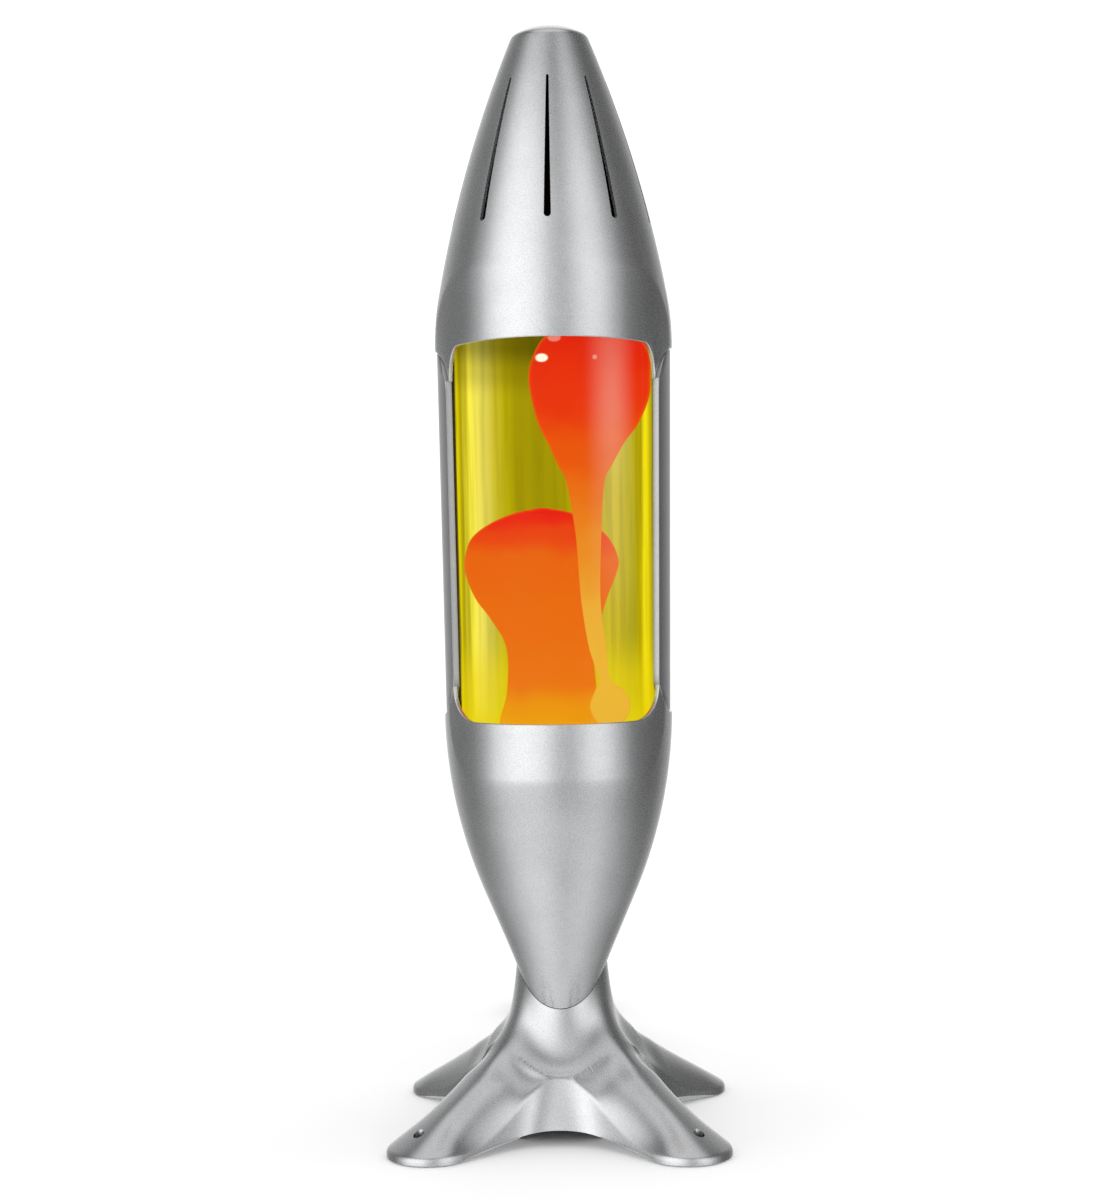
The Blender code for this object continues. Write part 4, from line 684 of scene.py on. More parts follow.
def glass_look():
    """Thin clear glass with painted light: a painted pale blue reflection and then painted dark shade along
    the outline, a painted soft upright highlight and small painted glares.
    """
    made, nodes, links, output = new_material("bottle_clear_glass")
    face, turn = facing(nodes, links)
    front = math_node(nodes, links, "SUBTRACT", 1.0, turn.outputs["Backfacing"])
    clear = nodes.new("ShaderNodeBsdfTransparent")
    # Painted reflection and shade along the outline: pale blue at the very edge, then a dark line, then clear
    painted_edge_light = ramp(
        nodes,
        links,
        face,
        (
            (0.0, (0.55, 0.66, 0.74)),
            (0.10, (0.72, 0.84, 0.92)),
            (0.17, (0.55, 0.62, 0.62)),
            (0.235, (0.16, 0.15, 0.10)),
            (0.29, (0.55, 0.52, 0.42)),
            (0.32, (1.0, 1.0, 1.0)),
        ),
        "LINEAR",
    )
    links.new(painted_edge_light, clear.inputs["Color"])
    split = nodes.new("ShaderNodeSeparateXYZ")
    coords = own_place(nodes)
    links.new(coords, split.inputs[0])
    ripple = noise(nodes, links, coords, 30.0, 2.0)
    side = math_node(nodes, links, "MULTIPLY_ADD", split.outputs["X"], 12.5, 0.5)
    side = math_node(nodes, links, "ADD", side, math_node(nodes, links, "MULTIPLY_ADD", ripple, 0.04, -0.02))
    # Painted highlight: an upright band on the right of the front, a softbox's reflection
    band = ramp(nodes, links, side, greys((0.65, 0.0), (0.79, 1.0), (0.91, 0.0)))
    share = height_share(nodes, links, 0.15, 0.32)
    tall = ramp(nodes, links, share, greys((0.20, 0.0), (0.55, 0.4), (0.78, 1.0), (0.97, 0.5)))
    painted_light_amount = math_node(nodes, links, "MULTIPLY", math_node(nodes, links, "MULTIPLY", band, PAINTED_HIGHLIGHT), tall)
    # Painted glares: small spots of a lamp's reflection
    for centre, wide, high, strength in PAINTED_GLARES:
        glare = math_node(nodes, links, "MULTIPLY", spot(nodes, links, split, centre, wide, high), strength)
        painted_light_amount = math_node(nodes, links, "MAXIMUM", painted_light_amount, glare)
    near = math_node(nodes, links, "LESS_THAN", split.outputs["Y"], 0.0)
    painted_light_amount = math_node(nodes, links, "MULTIPLY", math_node(nodes, links, "MULTIPLY", painted_light_amount, front), near)
    # Painted sheen: a pale emission mixed over the clear glass
    painted_sheen = nodes.new("ShaderNodeEmission")
    painted_sheen.inputs["Color"].default_value = (1.06, 0.99, 0.74, 1.0)
    painted_sheen_mix = nodes.new("ShaderNodeMixShader")
    links.new(painted_light_amount, painted_sheen_mix.inputs["Fac"])
    links.new(clear.outputs[0], painted_sheen_mix.inputs[1])
    links.new(painted_sheen.outputs[0], painted_sheen_mix.inputs[2])
    shine = nodes.new("ShaderNodeBsdfGlossy")
    shine.inputs["Roughness"].default_value = 0.03
    fresnel = nodes.new("ShaderNodeFresnel")
    fresnel.inputs["IOR"].default_value = 1.10
    mirror = math_node(nodes, links, "MULTIPLY", fresnel.outputs[0], front)
    mix_shaders(nodes, links, mirror, painted_sheen_mix.outputs[0], shine.outputs[0], output.inputs["Surface"])
    return made


# The silver shells get painted shade inside: matt black where faces look at the axis
SILVER = metal_paint("satin_silver_paint", (0.52, 0.525, 0.535), (0.72, 0.725, 0.735), 0.27, shade_inside=True)
STRUT = metal_paint("satin_grey_paint", (0.36, 0.365, 0.375), (0.50, 0.505, 0.515), 0.30)
ZINC = simple("zinc_plate", (0.42, 0.43, 0.46), (0.66, 0.67, 0.68), 0.35, 1.0, 500.0)
BRASS = simple("turned_brass", (0.58, 0.40, 0.15), (0.80, 0.60, 0.28), 0.28, 1.0, 700.0)
CERAMIC = simple("white_ceramic", (0.78, 0.76, 0.70), (0.90, 0.88, 0.83), 0.5, 0.0, 600.0)
RUBBER = simple(
    "black_rubber_skin", (0.012, 0.012, 0.013), (0.03, 0.03, 0.032), 0.62, 0.0, 1500.0, COARSE_BUMP
)
PLASTIC = simple(
    "black_plastic_skin", (0.015, 0.015, 0.017), (0.035, 0.035, 0.04), 0.42, 0.0, 1800.0, COARSE_BUMP
)
ALUMINIUM = simple("pressed_aluminium", (0.66, 0.66, 0.66), (0.84, 0.84, 0.82), 0.30, 1.0, 800.0)
GLASSY = glass_look()
LIQUID = liquid_look()


# ---- Metal shells


def shell_ring(azimuths, height, thick=0.0):
    return [place(waist_r(phi, height(phi)) - thick, phi, height(phi)) for phi in azimuths]


def mix(low, high, share):
    return lambda phi: low(phi) + (high(phi) - low(phi)) * share


def level(z):
    return lambda phi: z


def shifted(height, offset):
    return lambda phi: height(phi) + offset


# Distance from a shell's edge and depth below its surface, from the surface into the edge
EDGE_ROUND = ((0.00055, 0.0), (0.00025, 0.00006), (0.00008, 0.00020), (0.0, 0.00042))
EDGE_STEP = 0.0001  # from the edge to the start of the inner surface


def nose_cap():
    azimuths = shell_azimuths(CORNER_TURN_TOP)
    creases = {phi: crease_z(phi, BELT_Z, CREASE_TOP) for phi in azimuths}
    crease = creases.get
    shoulder_z, dome_z = NOSE[1][3], NOSE[2][3]
    rings = [shell_ring(azimuths, shifted(nose_edge, up), inset) for up, inset in reversed(EDGE_ROUND)]
    start = shifted(nose_edge, EDGE_ROUND[0][0])
    below = shifted(crease, -CREASE_SOFT)
    rings += [shell_ring(azimuths, mix(start, below, share)) for share in steps(0.0, 1.0, 6)[1:]]
    above = shifted(crease, CREASE_SOFT)
    rings += [shell_ring(azimuths, mix(above, level(shoulder_z), share)) for share in steps(0.0, 1.0, 40)]
    rings += [shell_ring(azimuths, level(z)) for z in steps(shoulder_z, dome_z, 6)[1:]]
    centre_r, centre_z, radius, _ = NOSE[3]
    for angle in steps(SHOULDER_TILT, math.pi / 2, 8)[1:-1]:
        r, z = centre_r + radius * math.cos(angle), centre_z + radius * math.sin(angle)
        rings.append([place(r, phi, z) for phi in azimuths])
    rings.append([Vector((0.0, 0.0, HEIGHT))])
    inner_top = shoulder_z - SHOULDER_R
    inner = [shell_ring(azimuths, shifted(nose_edge, EDGE_STEP), SHEET)]
    upward = [mix(crease, level(inner_top), share) for share in steps(0.0, 1.0, 14)]
    inner += [shell_ring(azimuths, height, SHEET) for height in upward]
    inner.append([Vector((0.0, 0.0, HEIGHT - 2 * SHEET))])
    cap = loft("nose_cap_shell", list(reversed(rings)) + inner, SILVER)
    for number in range(SLOTS):
        cut(cap, slot_cutter(number))
    cap.data.shade_smooth()
    cap.data.set_sharp_from_angle(angle=math.radians(35))
    stand_for(cap, "nose_cap", "top_shell")


def slot_outline(count=10):
    low = SLOT_BOTTOM + SLOT_WIDE / 2
    high = SLOT_TOP - SLOT_NARROW / 2
    outline = []
    for centre, radius, start in ((low, SLOT_WIDE / 2, -math.pi), (high, SLOT_NARROW / 2, 0.0)):
        for i in range(count + 1):
            angle = start + math.pi * i / count
            outline.append((radius * math.cos(angle), centre + radius * math.sin(angle)))
    return outline


def slot_cutter(number):
    phi = 2 * math.pi * number / SLOTS
    along = place(1.0, phi, 0.0)
    across = Vector((math.cos(phi), math.sin(phi), 0.0))
    rings = []
    for r in (SLOT_NEAR, SLOT_FAR):
        rings.append([along * r + across * x + Vector((0.0, 0.0, z)) for x, z in slot_outline()])
    return loft(f"slot_{number}", rings, None)


def bowl():
    azimuths = shell_azimuths(CORNER_TURN_BOTTOM)
    creases = {phi: crease_z(phi, CREASE_BOTTOM, WAIST_Z) for phi in azimuths}
    crease = creases.get

    def seam_top(phi):
        return seam_z(phi) + SEAM_GAP / 2

    rings = [shell_ring(azimuths, shifted(bowl_edge, -down), inset) for down, inset in reversed(EDGE_ROUND)]
    start = shifted(bowl_edge, -EDGE_ROUND[0][0])
    above = shifted(crease, CREASE_SOFT)
    rings += [shell_ring(azimuths, mix(start, above, share)) for share in steps(0.0, 1.0, 6)[1:]]
    below = shifted(crease, -CREASE_SOFT)
    rings += [shell_ring(azimuths, mix(below, seam_top, share)) for share in steps(0.0, 1.0, 40)]
    rings.append([place(SPIGOT_R, phi, seam_top(phi)) for phi in azimuths])
    floor = SOCKET_FLOOR + SHELL_FLOOR
    rings.append([place(SPIGOT_R, phi, SOCKET_FLOOR) for phi in azimuths])
    rings.append([place(STEM_HOLE_R, phi, SOCKET_FLOOR) for phi in azimuths])
    rings.append([place(STEM_HOLE_R, phi, floor) for phi in azimuths])
    rings += [[place(SPIGOT_R - SHEET, phi, z) for phi in azimuths] for z in (floor, SPIGOT_TOP)]
    rings += [shell_ring(azimuths, level(z), SHEET) for z in steps(BOWL_INNER_LOW, BOWL_INNER_HIGH, 9)]
    rings += [[place(LEDGE_R, phi, z) for phi in azimuths] for z in LEDGE_HEIGHTS[:2]]
    rings.append(shell_ring(azimuths, level(LEDGE_HEIGHTS[2]), SHEET))
    rings.append(shell_ring(azimuths, shifted(bowl_edge, -EDGE_STEP), SHEET))
    shell = loft("bowl_shell", rings, SILVER, closed=True)
    stand_for(shell, "body", "lower_shell")


# Distance from a strut's outline and depth below its face, from its side into its face
STRUT_ROUND = ((0.0, 0.00045), (0.00012, 0.00015), (0.0004, 0.0))


def strut(name, side, replaced):
    """Side plate with a rounded rim, slightly below the shells around it."""
    centre = side * math.pi / 2
    half = math.pi / 2 - WINDOW_HALF - SEAM_GAP / BELT_R
    loops = []
    bottom_first = [math.sin(math.pi / 2 * t) for t in steps(-1.0, 1.0, 36)]

    def outline(shrink, radius_drop):
        points = []
        for t in bottom_first:
            phi = centre + t * (half - shrink / BELT_R)
            z = bowl_edge(phi) + STRUT_GAP + shrink
            points.append((phi, z, radius_drop))
        top = []
        for t in reversed(bottom_first):
            phi = centre + t * (half - shrink / BELT_R)
            top.append((phi, nose_edge(phi) - STRUT_GAP - shrink, radius_drop))
        left = points[-1]
        for z in steps(left[1], top[0][1], STRUT_ROWS)[1:-1]:
            points.append((left[0], z, radius_drop))
        points += top
        right = top[-1]
        for z in steps(right[1], points[0][1], STRUT_ROWS)[1:-1]:
            points.append((right[0], z, radius_drop))
        return points

    for shrink, drop in ((0.0, STRUT_THICK), *STRUT_ROUND):
        loops.append([place(body_r(z) - STRUT_RECESS - d, phi, z) for phi, z, d in outline(shrink, drop)])
    bm = bmesh.new()
    rows = [[bm.verts.new(point) for point in ring] for ring in loops]
    for low, high in zip(rows, rows[1:]):
        for i in range(len(low)):
            j = (i + 1) % len(low)
            bm.faces.new((low[i], low[j], high[j], high[i]))
    fill_plate(bm, rows[0], len(bottom_first), STRUT_THICK)
    fill_plate(bm, rows[-1], len(bottom_first), 0.0)
    piece = add(name, mesh_from(name, bm), STRUT, 40)
    stand_for(piece, "body", replaced)


def fill_plate(bm, row, count, drop):
    """Fills a strut outline with quads between its bottom row and its top row, each of count points."""
    side_count = STRUT_ROWS - 1
    bottom = row[:count]
    rising = row[count : count + side_count]
    top = list(reversed(row[count + side_count : 2 * count + side_count]))
    falling = list(reversed(row[2 * count + side_count :]))
    previous = bottom
    for level_index in range(side_count):
        share = (level_index + 1) / (side_count + 1)
        current = [falling[level_index]]
        for i in range(1, count - 1):
            low, high = bottom[i].co, top[i].co
            z = low.z + (high.z - low.z) * share
            phi = math.atan2(low.x, -low.y)
            current.append(bm.verts.new(place(body_r(z) - STRUT_RECESS - drop, phi, z)))
        current.append(rising[level_index])
        for i in range(count - 1):
            bm.faces.new((previous[i], previous[i + 1], current[i + 1], current[i]))
        previous = current
    for i in range(count - 1):
        bm.faces.new((previous[i], previous[i + 1], top[i + 1], top[i]))


# ---- Base


def leg_turn(phi):
    quarter = math.pi / 2
    return abs((phi % quarter) - quarter / 2)


FOOT_TURN = math.atan2(FOOT_HALF, FOOT_CENTRE)


def crest_r(turn):
    """Plan radius of the crest: round foot, then the side of the leg, which turns late into the valley."""
    if turn <= FOOT_TURN:
        along, across = math.cos(turn), math.sin(turn)
        a, b = FOOT_TIP - FOOT_CENTRE, FOOT_HALF
        k = (along / a) ** 2 + (across / b) ** 2
        half = FOOT_CENTRE * along / a**2
        return (half + math.sqrt(half * half - k * ((FOOT_CENTRE / a) ** 2 - 1))) / k
    valley = VALLEY_R * math.sqrt(0.5)
    near, far = valley, FOOT_CENTRE
    for _ in range(40):
        u = (near + far) / 2
        share = (FOOT_CENTRE - u) / (FOOT_CENTRE - valley)
        v = FOOT_HALF + (valley - FOOT_HALF) * share**SIDE_POWER
        if math.atan2(v, u) > turn:
            near = u
        else:
            far = u
    return math.hypot(u, v)


def crest_z(r):
    share = min(max((r - VALLEY_R) / (FOOT_CENTRE - VALLEY_R), 0.0), 1.0)
    return FOOT_Z + FOOT_EDGE + (VALLEY_Z - FOOT_Z - FOOT_EDGE) * (1 - share) ** CREST_POWER


def arch_share(turn):
    """0 along the foot and 1 in the valley, level there."""
    share = max(0.0, (turn - FOOT_TURN) / (math.pi / 4 - FOOT_TURN))
    return math.sin(math.pi / 2 * share)


CREST_TURNS = steps(math.pi / 4, 0.0, 240)
CREST_RADII = [crest_r(turn) for turn in CREST_TURNS]


def flare(start, end, lean, slope, reach, count=80):
    """Radii and heights along the curve that leaves the seam steeply and comes in at a slope."""
    span = (end - start).length
    first = start + Vector((lean, -1.0)).normalized() * span * SEAM_REACH
    last = end + Vector((-1.0, slope)).normalized() * span * reach
    points = []
    for share in steps(0.0, 1.0, count):
        a, b = 1 - share, share
        points.append(start * a**3 + first * 3 * a * a * b + last * 3 * a * b * b + end * b**3)
    return [point.x for point in points], [point.y for point in points]


def crown(phi, shares):
    """(r, z) of the upper surface at one azimuth, from the seam at share 0 to the crest at share 1."""
    turn = leg_turn(phi)
    z0 = seam_z(phi) - SEAM_GAP / 2
    start = Vector((neck_r(z0), z0))
    lean = PINCH_LEAN + 2 * PINCH_FLARE * max(PINCH_Z - z0, 0.0)
    ridge = flare(start, Vector((FOOT_TIP, FOOT_Z + FOOT_EDGE)), lean, FOOT_SLOPE, RIDGE_REACH)
    valley = flare(start, Vector((VALLEY_R, VALLEY_Z)), lean, CREST_SLOPE, VALLEY_REACH)
    end_r = crest_r(turn)
    points = []
    for share in shares:
        r = start.x + (end_r - start.x) * share
        high = float(np.interp(r, *ridge))
        if r <= VALLEY_R:
            low, reach = float(np.interp(r, *valley)), math.pi / 4
        else:
            low, reach = crest_z(r), max(float(np.interp(r, CREST_RADII, CREST_TURNS)), 1e-6)
        across = min(turn / reach, 1.0) if share < 1 else 1.0
        soft = math.sin(math.pi / 2 * across) ** 2
        firm = min(max((r - VALLEY_R) / (FIRM_SPAN * VALLEY_R), 0.0), 1.0)
        fall = soft + (across**CROWN_POWER - soft) * firm * firm * (3 - 2 * firm)
        points.append((r, high + (low - high) * fall))
    return points


def base_azimuths(count=40):
    """Denser round the feet than in the valleys."""
    quarter = math.pi / 2
    turns = [(i / count) ** 1.25 * quarter / 2 for i in range(count)]
    leg_half = [-turn for turn in reversed(turns[1:])] + turns
    found = []
    for leg in range(4):
        found.append(leg * quarter)
        found += [leg * quarter + quarter / 2 + turn for turn in leg_half]
    return found


def leg_section(phi, count=44):
    """One azimuth of the casting's skin: upper surface, rounded crest, outer wall and underside."""
    turn = leg_turn(phi)
    end_r = crest_r(turn)
    start_r = neck_r(seam_z(phi) - SEAM_GAP / 2)
    last = 1 - CREST_ROUND / (end_r - start_r)
    points = crown(phi, [last * (i / count) ** CROWN_CROWDING for i in range(count + 1)])
    crest = Vector(crown(phi, [1.0])[0])
    low = FOOT_Z + (ARCH_Z - FOOT_Z) * math.sqrt(arch_share(turn))
    foot = Vector((end_r + (ARCH_R - VALLEY_R) * arch_share(turn), low))
    wall = crest.lerp(foot, min(0.55, CREST_ROUND / (crest - foot).length))
    start = Vector(points[-1])
    for share in steps(0.0, 1.0, 6)[1:]:
        points.append(tuple(start.lerp(crest, share).lerp(crest.lerp(wall, share), share)))
    points += [tuple(wall.lerp(foot, share)) for share in (0.35, 0.7, 0.93)]
    edge = 0.0004
    points += [(foot.x - edge * 0.3, foot.y + edge * 0.3), (foot.x - edge, foot.y)]
    points.append((HOLLOW_R, low))
    return [place(r, phi, z) for r, z in points]


def base():
    azimuths = base_azimuths()

    def socket(phi, share):
        z = SOCKET_FLOOR - SEAM_GAP + (seam_z(phi) - SEAM_GAP / 2 - SOCKET_FLOOR + SEAM_GAP) * share
        return place(SPIGOT_R + SEAM_GAP, phi, z)

    rings = [list(ring) for ring in zip(*[leg_section(phi) for phi in azimuths])]
    hollow = ((HOLLOW_R * HOLLOW_TOP_SHARE, HOLLOW_TOP), (HUB_R, CEILING))
    rings += [[place(r, phi, z) for phi in azimuths] for r, z in hollow]
    floor = SOCKET_FLOOR - SEAM_GAP
    rings += [[place(STEM_HOLE_R, phi, z) for phi in azimuths] for z in (CEILING, floor)]
    rings += [[socket(phi, share) for phi in azimuths] for share in (0.0, 0.5, 1.0)]
    casting = loft("base_body", rings, SILVER, closed=True, sharp=50)
    for leg in range(4):
        phi = math.pi / 4 + leg * math.pi / 2
        centre = place(FOOT_HOLE_U, phi, 0.0)
        circle = [2 * math.pi * i / 32 for i in range(32)]
        rim = [centre + FOOT_HOLE_R * Vector((math.cos(angle), math.sin(angle), 0.0)) for angle in circle]
        rings = [[point + Vector((0.0, 0.0, z)) for point in rim] for z in (FOOT_HOLE_LOW, FOOT_HOLE_HIGH)]
        cut(casting, loft(f"foot_hole_{leg}", rings, None))
    casting.data.shade_smooth()
    casting.data.set_sharp_from_angle(angle=math.radians(50))
    stand_for(casting, "body", "base_casting")


# ---- Bottle, liquid and wax


def bottle_r(z):
    share = (z - BOTTLE_LOW) / (BOTTLE_SHOULDER - BOTTLE_LOW)
    return BOTTLE_R_LOW + (BOTTLE_R_HIGH - BOTTLE_R_LOW) * share


def bottle_profile(inset):
    """From the neck down the outer side, inset all round, to the foot."""
    points = [(NECK_R - inset, z) for z in (NECK_TOP, NECK_LOW)]
    wide = BOTTLE_R_HIGH - inset
    for angle in reversed(steps(0.0, SHOULDER_TURN, 12)):
        inward = SHOULDER_REACH * (1 - math.cos(angle)) / (1 - math.cos(SHOULDER_TURN))
        up = SHOULDER_RISE * math.sin(angle) / math.sin(SHOULDER_TURN)
        points.append((wide - (wide - NECK_R + inset) * inward, BOTTLE_SHOULDER - inset + up))
    low = BOTTLE_LOW + inset
    points += [(bottle_r(z) - inset, z) for z in steps(BOTTLE_SHOULDER - inset, low + HEEL_R, 20)[1:]]
    heel = bottle_r(low) - inset
    return points + [(heel - HEEL_CUT_R, low + HEEL_CUT_H), (heel - HEEL_R, low)]


def bottle():
    wall = [(0.0, BOTTLE_LOW)] + list(reversed(bottle_profile(0.0)))
    wall += [(NECK_R - GLASS, NECK_TOP), (NECK_R - GLASS, NECK_TOP - NECK_SKIN)]
    glass = turned("bottle_wall", wall, GLASSY)
    stand_for(glass, "bottle", "bottle_glass")
    inset = GLASS + LIQUID_GAP
    side = [(r, z) for r, z in bottle_profile(inset) if r > NECK_R + LIQUID_STOP]
    profile = [(0.0, side[0][1])] + side + [(0.0, BOTTLE_LOW + inset)]
    fluid = turned("lit_liquid", profile, LIQUID)
    stand_for(fluid, "bottle", "liquid")


# Height, left edge and right edge of the wax, seen from the front
COLUMN = (
    (0.1535, -0.0240, 0.0165),
    (0.1600, -0.0233, 0.0160),
    (0.1706, -0.0206, 0.0150),
    (0.1875, -0.0206, 0.0139),
    (0.1988, -0.0265, 0.0170),
    (0.2071, -0.0325, 0.0196),
    (0.2161, -0.0362, 0.0232),
    (0.2224, -0.0368, 0.0242),
    (0.2310, -0.0340, 0.0203),
    (0.2369, -0.0265, 0.0130),
    (0.2410, -0.0165, 0.0050),
    (0.2428, -0.0070, -0.0040),
)
DROP = (
    (0.1580, 0.0180, 0.0230),
    (0.1610, 0.0145, 0.0268),
    (0.1663, 0.0128, 0.0284),
    (0.1720, 0.0148, 0.0262),
    (0.1765, 0.0164, 0.0208),
    (0.1894, 0.0127, 0.0194),
    (0.2079, 0.0100, 0.0175),
    (0.2330, 0.0082, 0.0182),
    (0.2526, 0.0049, 0.0197),
    (0.2588, 0.0018, 0.0225),
    (0.2675, -0.0022, 0.0273),
    (0.2753, -0.0061, 0.0330),
    (0.2855, -0.0088, 0.0372),
    (0.2945, -0.0098, 0.0378),
    (0.3024, -0.0078, 0.0374),
    (0.3094, -0.0030, 0.0320),
    (0.3130, 0.0080, 0.0190),
)
COLUMN_DEPTH = ((0.15, 0.006), (0.24, 0.008))
DROP_DEPTH = ((0.157, -0.015), (0.185, -0.018), (0.245, -0.018), (0.285, -0.003))


def eased(points, z):
    if z <= points[0][0]:
        return points[0][1]
    for (z0, v0), (z1, v1) in zip(points, points[1:]):
        if z <= z1:
            share = (z - z0) / (z1 - z0)
            return v0 + (v1 - v0) * share * share * (3 - 2 * share)
    return points[-1][1]


def spline(points, share):
    """Catmull-Rom value along a list of tuples, share 0 to 1 over its length."""
    at = share * (len(points) - 1)
    i = min(int(at), len(points) - 2)
    t = at - i
    a, b = points[max(i - 1, 0)], points[i]
    c, d = points[i + 1], points[min(i + 2, len(points) - 1)]
    return tuple(
        0.5 * (2 * q + (r - p) * t + (2 * p - 5 * q + 4 * r - s) * t * t + (3 * q - p - 3 * r + s) * t**3)
        for p, q, r, s in zip(a, b, c, d)
    )


def wax(name, outline, depth, flat, look, replaced):
    rings = []
    count = 96
    for z, left, right in [spline(outline, share) for share in steps(0.0, 1.0, 120)]:
        half = max((right - left) / 2, THINNEST_WAX)
        centre = (right + left) / 2
        middle = eased(depth, z)
        deep = max(half * flat, min(half, WAX_ROUND))
        ring = []
        for i in range(count):
            angle = 2 * math.pi * i / count
            ring.append(Vector((centre + half * math.cos(angle), middle + deep * math.sin(angle), z)))
        rings.append(ring)
    piece = loft(name, rings, look, sharp=80)
    stand_for(piece, "bottle", replaced)


# Wax colour with the bulb's light painted in, from the bottom at 0 to the top at 1: yellow low down, red at
# the top
COLUMN_PAINTED_LIGHT = (
    (0.00, (238, 170, 22)),
    (0.12, (238, 152, 16)),
    (0.24, (236, 118, 20)),
    (0.50, (236, 110, 17)),
    (0.76, (236, 104, 18)),
    (0.87, (236, 70, 20)),
    (0.94, (235, 42, 20)),
    (1.00, (234, 28, 20)),
)
DROP_PAINTED_LIGHT = (
    (0.00, (236, 182, 58)),
    (0.12, (238, 184, 57)),
    (0.30, (239, 176, 56)),
    (0.46, (238, 142, 36)),
    (0.59, (236, 112, 20)),
    (0.69, (236, 88, 12)),
    (0.82, (236, 54, 14)),
    (1.00, (229, 38, 13)),
)


def waxes():
    column = wax_look("wax_column_painted_light", 0.153, 0.244, COLUMN_PAINTED_LIGHT)
    drop = wax_look("wax_drop_painted_light", 0.155, 0.313, DROP_PAINTED_LIGHT)
    wax("wax_column_body", COLUMN, COLUMN_DEPTH, 0.62, column, "wax_column")
    wax("wax_drop_body", DROP, DROP_DEPTH, 0.86, drop, "wax_drop")


# ---- Carried-over pieces


LOOKS = (
    (("strut_screw", "stem_nut", "stem_washer", "holder_bracket"), ZINC),
    (("holder_screw", "switch_screw", "wire_coil"), ZINC),
    (("stem_tube", "bulb_pin", "plug_pin"), BRASS),
    (("lamp_holder", "bulb_base"), CERAMIC),
    (("bulb_reflector", "bulb_lens"), ALUMINIUM),
    (("foot_pad", "bottle_seat", "cap_liner", "mains_cable"), RUBBER),
    (("bottle_cap",), ALUMINIUM),
    (("cord_gland", "cord_guard", "lamp_lead"), PLASTIC),
    (("switch_housing", "switch_rocker", "plug_body"), PLASTIC),
)


def dress_nodes():
    for name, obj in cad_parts.items():
        for prefixes, look in LOOKS:
            if name.startswith(prefixes):
                for index in range(len(obj.material_slots)):
                    obj.material_slots[index].material = look
                if not obj.material_slots:
                    obj.data.materials.append(look)


# ---- Stage


CAMERA_DISTANCE = 0.900
CAMERA_HEIGHT = 0.2408
CAMERA_AZIMUTH = math.radians(2.4)
CAMERA_PITCH = math.radians(2.175)
CAMERA_ROLL = math.radians(-0.8)
CAMERA_YAW = math.radians(0.0624)
CAMERA_LENS = 68.8


def floor():
    bm = bmesh.new()
    bmesh.ops.create_grid(bm, x_segments=8, y_segments=8, size=6.0)
    made, nodes, links, output = new_material("pale_floor")
    shader = nodes.new("ShaderNodeBsdfDiffuse")
    coords = own_place(nodes)
    tone = noise(nodes, links, coords, 6.0, 2.0)
    links.new(ramp(nodes, links, tone, greys((0.3, 0.93), (0.7, 0.95))), shader.inputs["Color"])
    unseen = nodes.new("ShaderNodeBsdfTransparent")
    path = nodes.new("ShaderNodeLightPath")
    glossy = path.outputs["Is Glossy Ray"]
    mix_shaders(nodes, links, glossy, shader.outputs[0], unseen.outputs[0], output.inputs["Surface"])
    plane = add("floor", mesh_from("floor", bm), made)


# Brightness of the surround in reflections at each azimuth from the camera: level, and looking down
SURROUND = (
    (-180, 1.30, 1.00),
    (-150, 0.50, 0.70),
    (-125, 0.20, 0.72),
    (-102, 0.13, 0.76),
    (-84, 0.46, 0.80),
    (-67, 1.20, 0.86),
    (-53, 1.55, 0.93),
    (-39, 1.62, 0.98),
    (-26, 1.55, 0.98),
    (-13, 1.28, 0.92),
    (0, 0.72, 0.88),
    (13, 0.58, 0.86),
    (26, 1.02, 0.86),
    (39, 1.30, 0.86),
    (53, 1.10, 0.82),
    (67, 0.58, 0.74),
    (84, 0.16, 0.68),
    (102, 0.05, 0.62),
    (125, 0.10, 0.58),
    (150, 0.40, 0.60),
    (180, 1.30, 1.00),
)
# How much of that is left at each height, from 0 straight down over 0.5 level to 1 straight up
HEIGHT_LEVELS = (
    (0.22, 1.00),
    (0.28, 0.60),
    (0.40, 1.00),
    (0.72, 1.00),
    (0.81, 0.96),
    (0.87, 0.62),
    (0.91, 0.30),
    (1.00, 0.34),
)
OVERHEAD = 0.80  # straight up, the same all round
MIRROR_STRENGTH = 2.0
WHITE_STRENGTH = 1.15


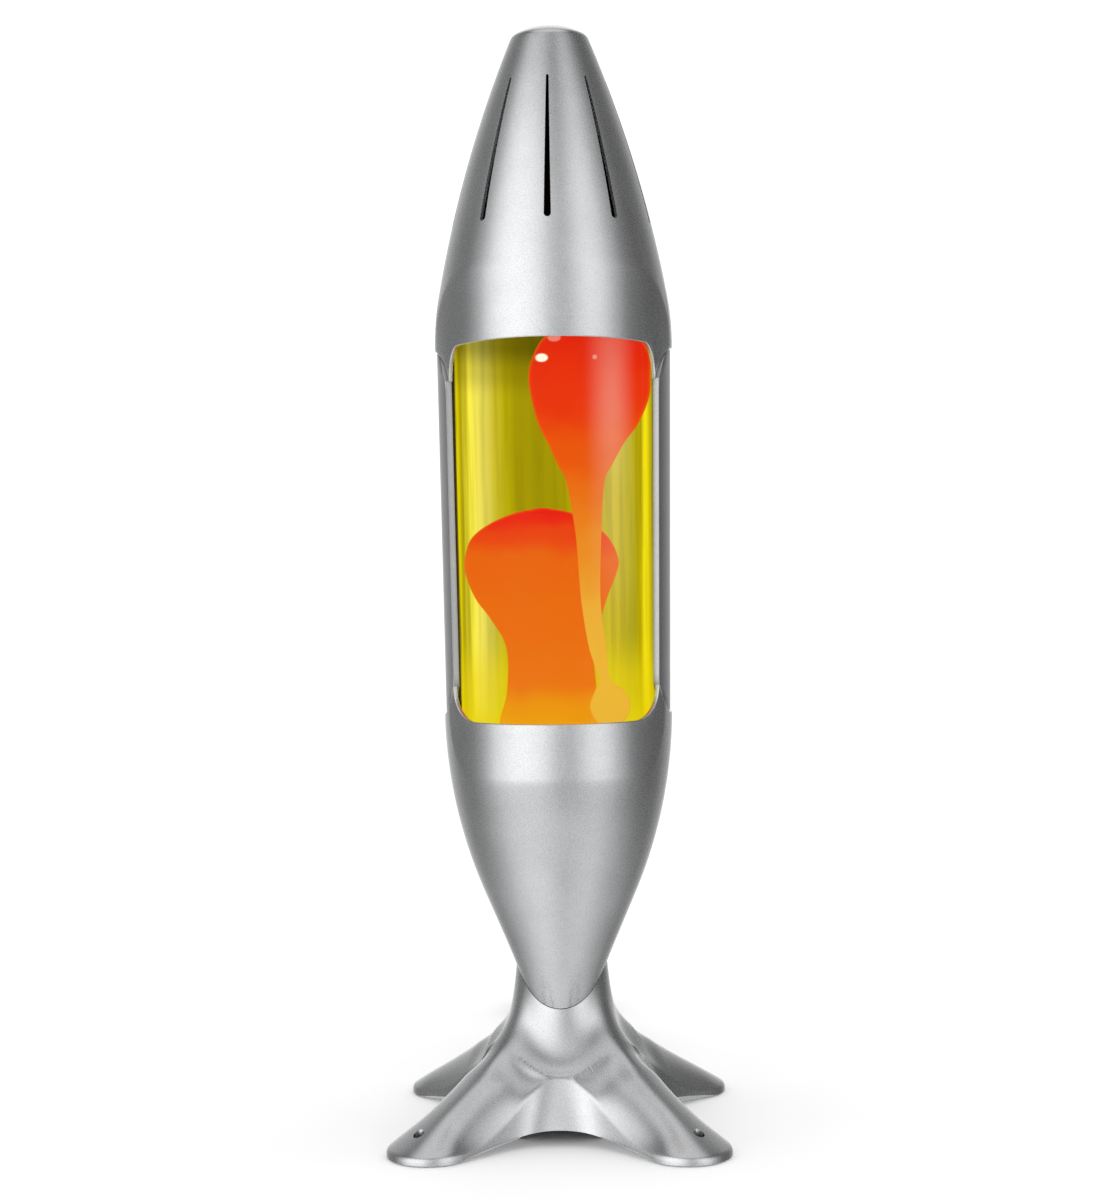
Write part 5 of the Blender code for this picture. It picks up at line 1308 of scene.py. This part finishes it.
def studio():
    """White for the camera. Reflections see two upright softboxes in front and dark flags at the sides."""
    world = bpy.data.worlds.new("studio")
    bpy.context.scene.world = world
    world.use_nodes = True
    nodes, links = world.node_tree.nodes, world.node_tree.links
    nodes.clear()
    output = nodes.new("ShaderNodeOutputWorld")
    split = nodes.new("ShaderNodeSeparateXYZ")
    links.new(nodes.new("ShaderNodeTexCoord").outputs["Generated"], split.inputs[0])
    back = math_node(nodes, links, "MULTIPLY", split.outputs["Y"], -1.0)
    angle = math_node(nodes, links, "ARCTAN2", split.outputs["X"], back)
    turn = math_node(nodes, links, "MULTIPLY_ADD", angle, 0.5 / math.pi, 0.5 - CAMERA_AZIMUTH / (2 * math.pi))
    levels = [(0.5 + azimuth / 360, grey(value / MIRROR_STRENGTH)) for azimuth, value, _ in SURROUND]
    lowers = [(0.5 + azimuth / 360, grey(value / MIRROR_STRENGTH)) for azimuth, _, value in SURROUND]
    height = math_node(nodes, links, "MULTIPLY_ADD", split.outputs["Z"], 0.5, 0.5)
    looking_down = ramp(nodes, links, height, greys((0.15, 1.0), (0.40, 0.0)))
    level_bands, lower_bands = ramp(nodes, links, turn, levels), ramp(nodes, links, turn, lowers)
    bands = colour_mix(nodes, links, looking_down, level_bands, lower_bands)
    by_height = ramp(nodes, links, height, greys(*HEIGHT_LEVELS))
    bands = colour_mix(nodes, links, 1.0, bands, by_height, "MULTIPLY")
    overhead = ramp(nodes, links, height, greys((0.92, 0.0), (0.97, 1.0)))
    bands = colour_mix(nodes, links, overhead, bands, grey(OVERHEAD / MIRROR_STRENGTH))
    mirror = nodes.new("ShaderNodeBackground")
    links.new(bands, mirror.inputs["Color"])
    mirror.inputs["Strength"].default_value = MIRROR_STRENGTH
    white = nodes.new("ShaderNodeBackground")
    white.inputs["Color"].default_value = (1.0, 1.0, 1.0, 1.0)
    white.inputs["Strength"].default_value = WHITE_STRENGTH
    path = nodes.new("ShaderNodeLightPath")
    glossy = path.outputs["Is Glossy Ray"]
    mix_shaders(nodes, links, glossy, white.outputs[0], mirror.outputs[0], output.inputs["Surface"])


def camera():
    data = bpy.data.cameras.new("camera")
    data.lens = CAMERA_LENS
    data.sensor_width = 36.0
    data.sensor_fit = "AUTO"
    data.clip_end = 50.0
    data.clip_start = 0.01
    obj = bpy.data.objects.new("camera", data)
    bpy.context.scene.collection.objects.link(obj)
    obj.location = (
        CAMERA_DISTANCE * math.sin(CAMERA_AZIMUTH),
        -CAMERA_DISTANCE * math.cos(CAMERA_AZIMUTH),
        CAMERA_HEIGHT,
    )
    obj.rotation_mode = "XYZ"
    aim = Vector((-obj.location.x, -obj.location.y, 0.0))
    aim.rotate(Quaternion((0.0, 0.0, 1.0), CAMERA_YAW))
    aim.z = -aim.length * math.tan(CAMERA_PITCH)
    facing_to = aim.to_track_quat("-Z", "Y")
    roll = Vector((0.0, 0.0, 1.0))
    obj.rotation_euler = (facing_to @ Quaternion(roll, CAMERA_ROLL)).to_euler()
    bpy.context.scene.camera = obj
    bpy.context.scene.view_settings.view_transform = "Standard"


nose_cap()
bowl()
strut("strut_right", 1, "side_strut_right")
strut("strut_left", -1, "side_strut_left")
base()
bottle()
waxes()
dress_nodes()
floor()
studio()
camera()
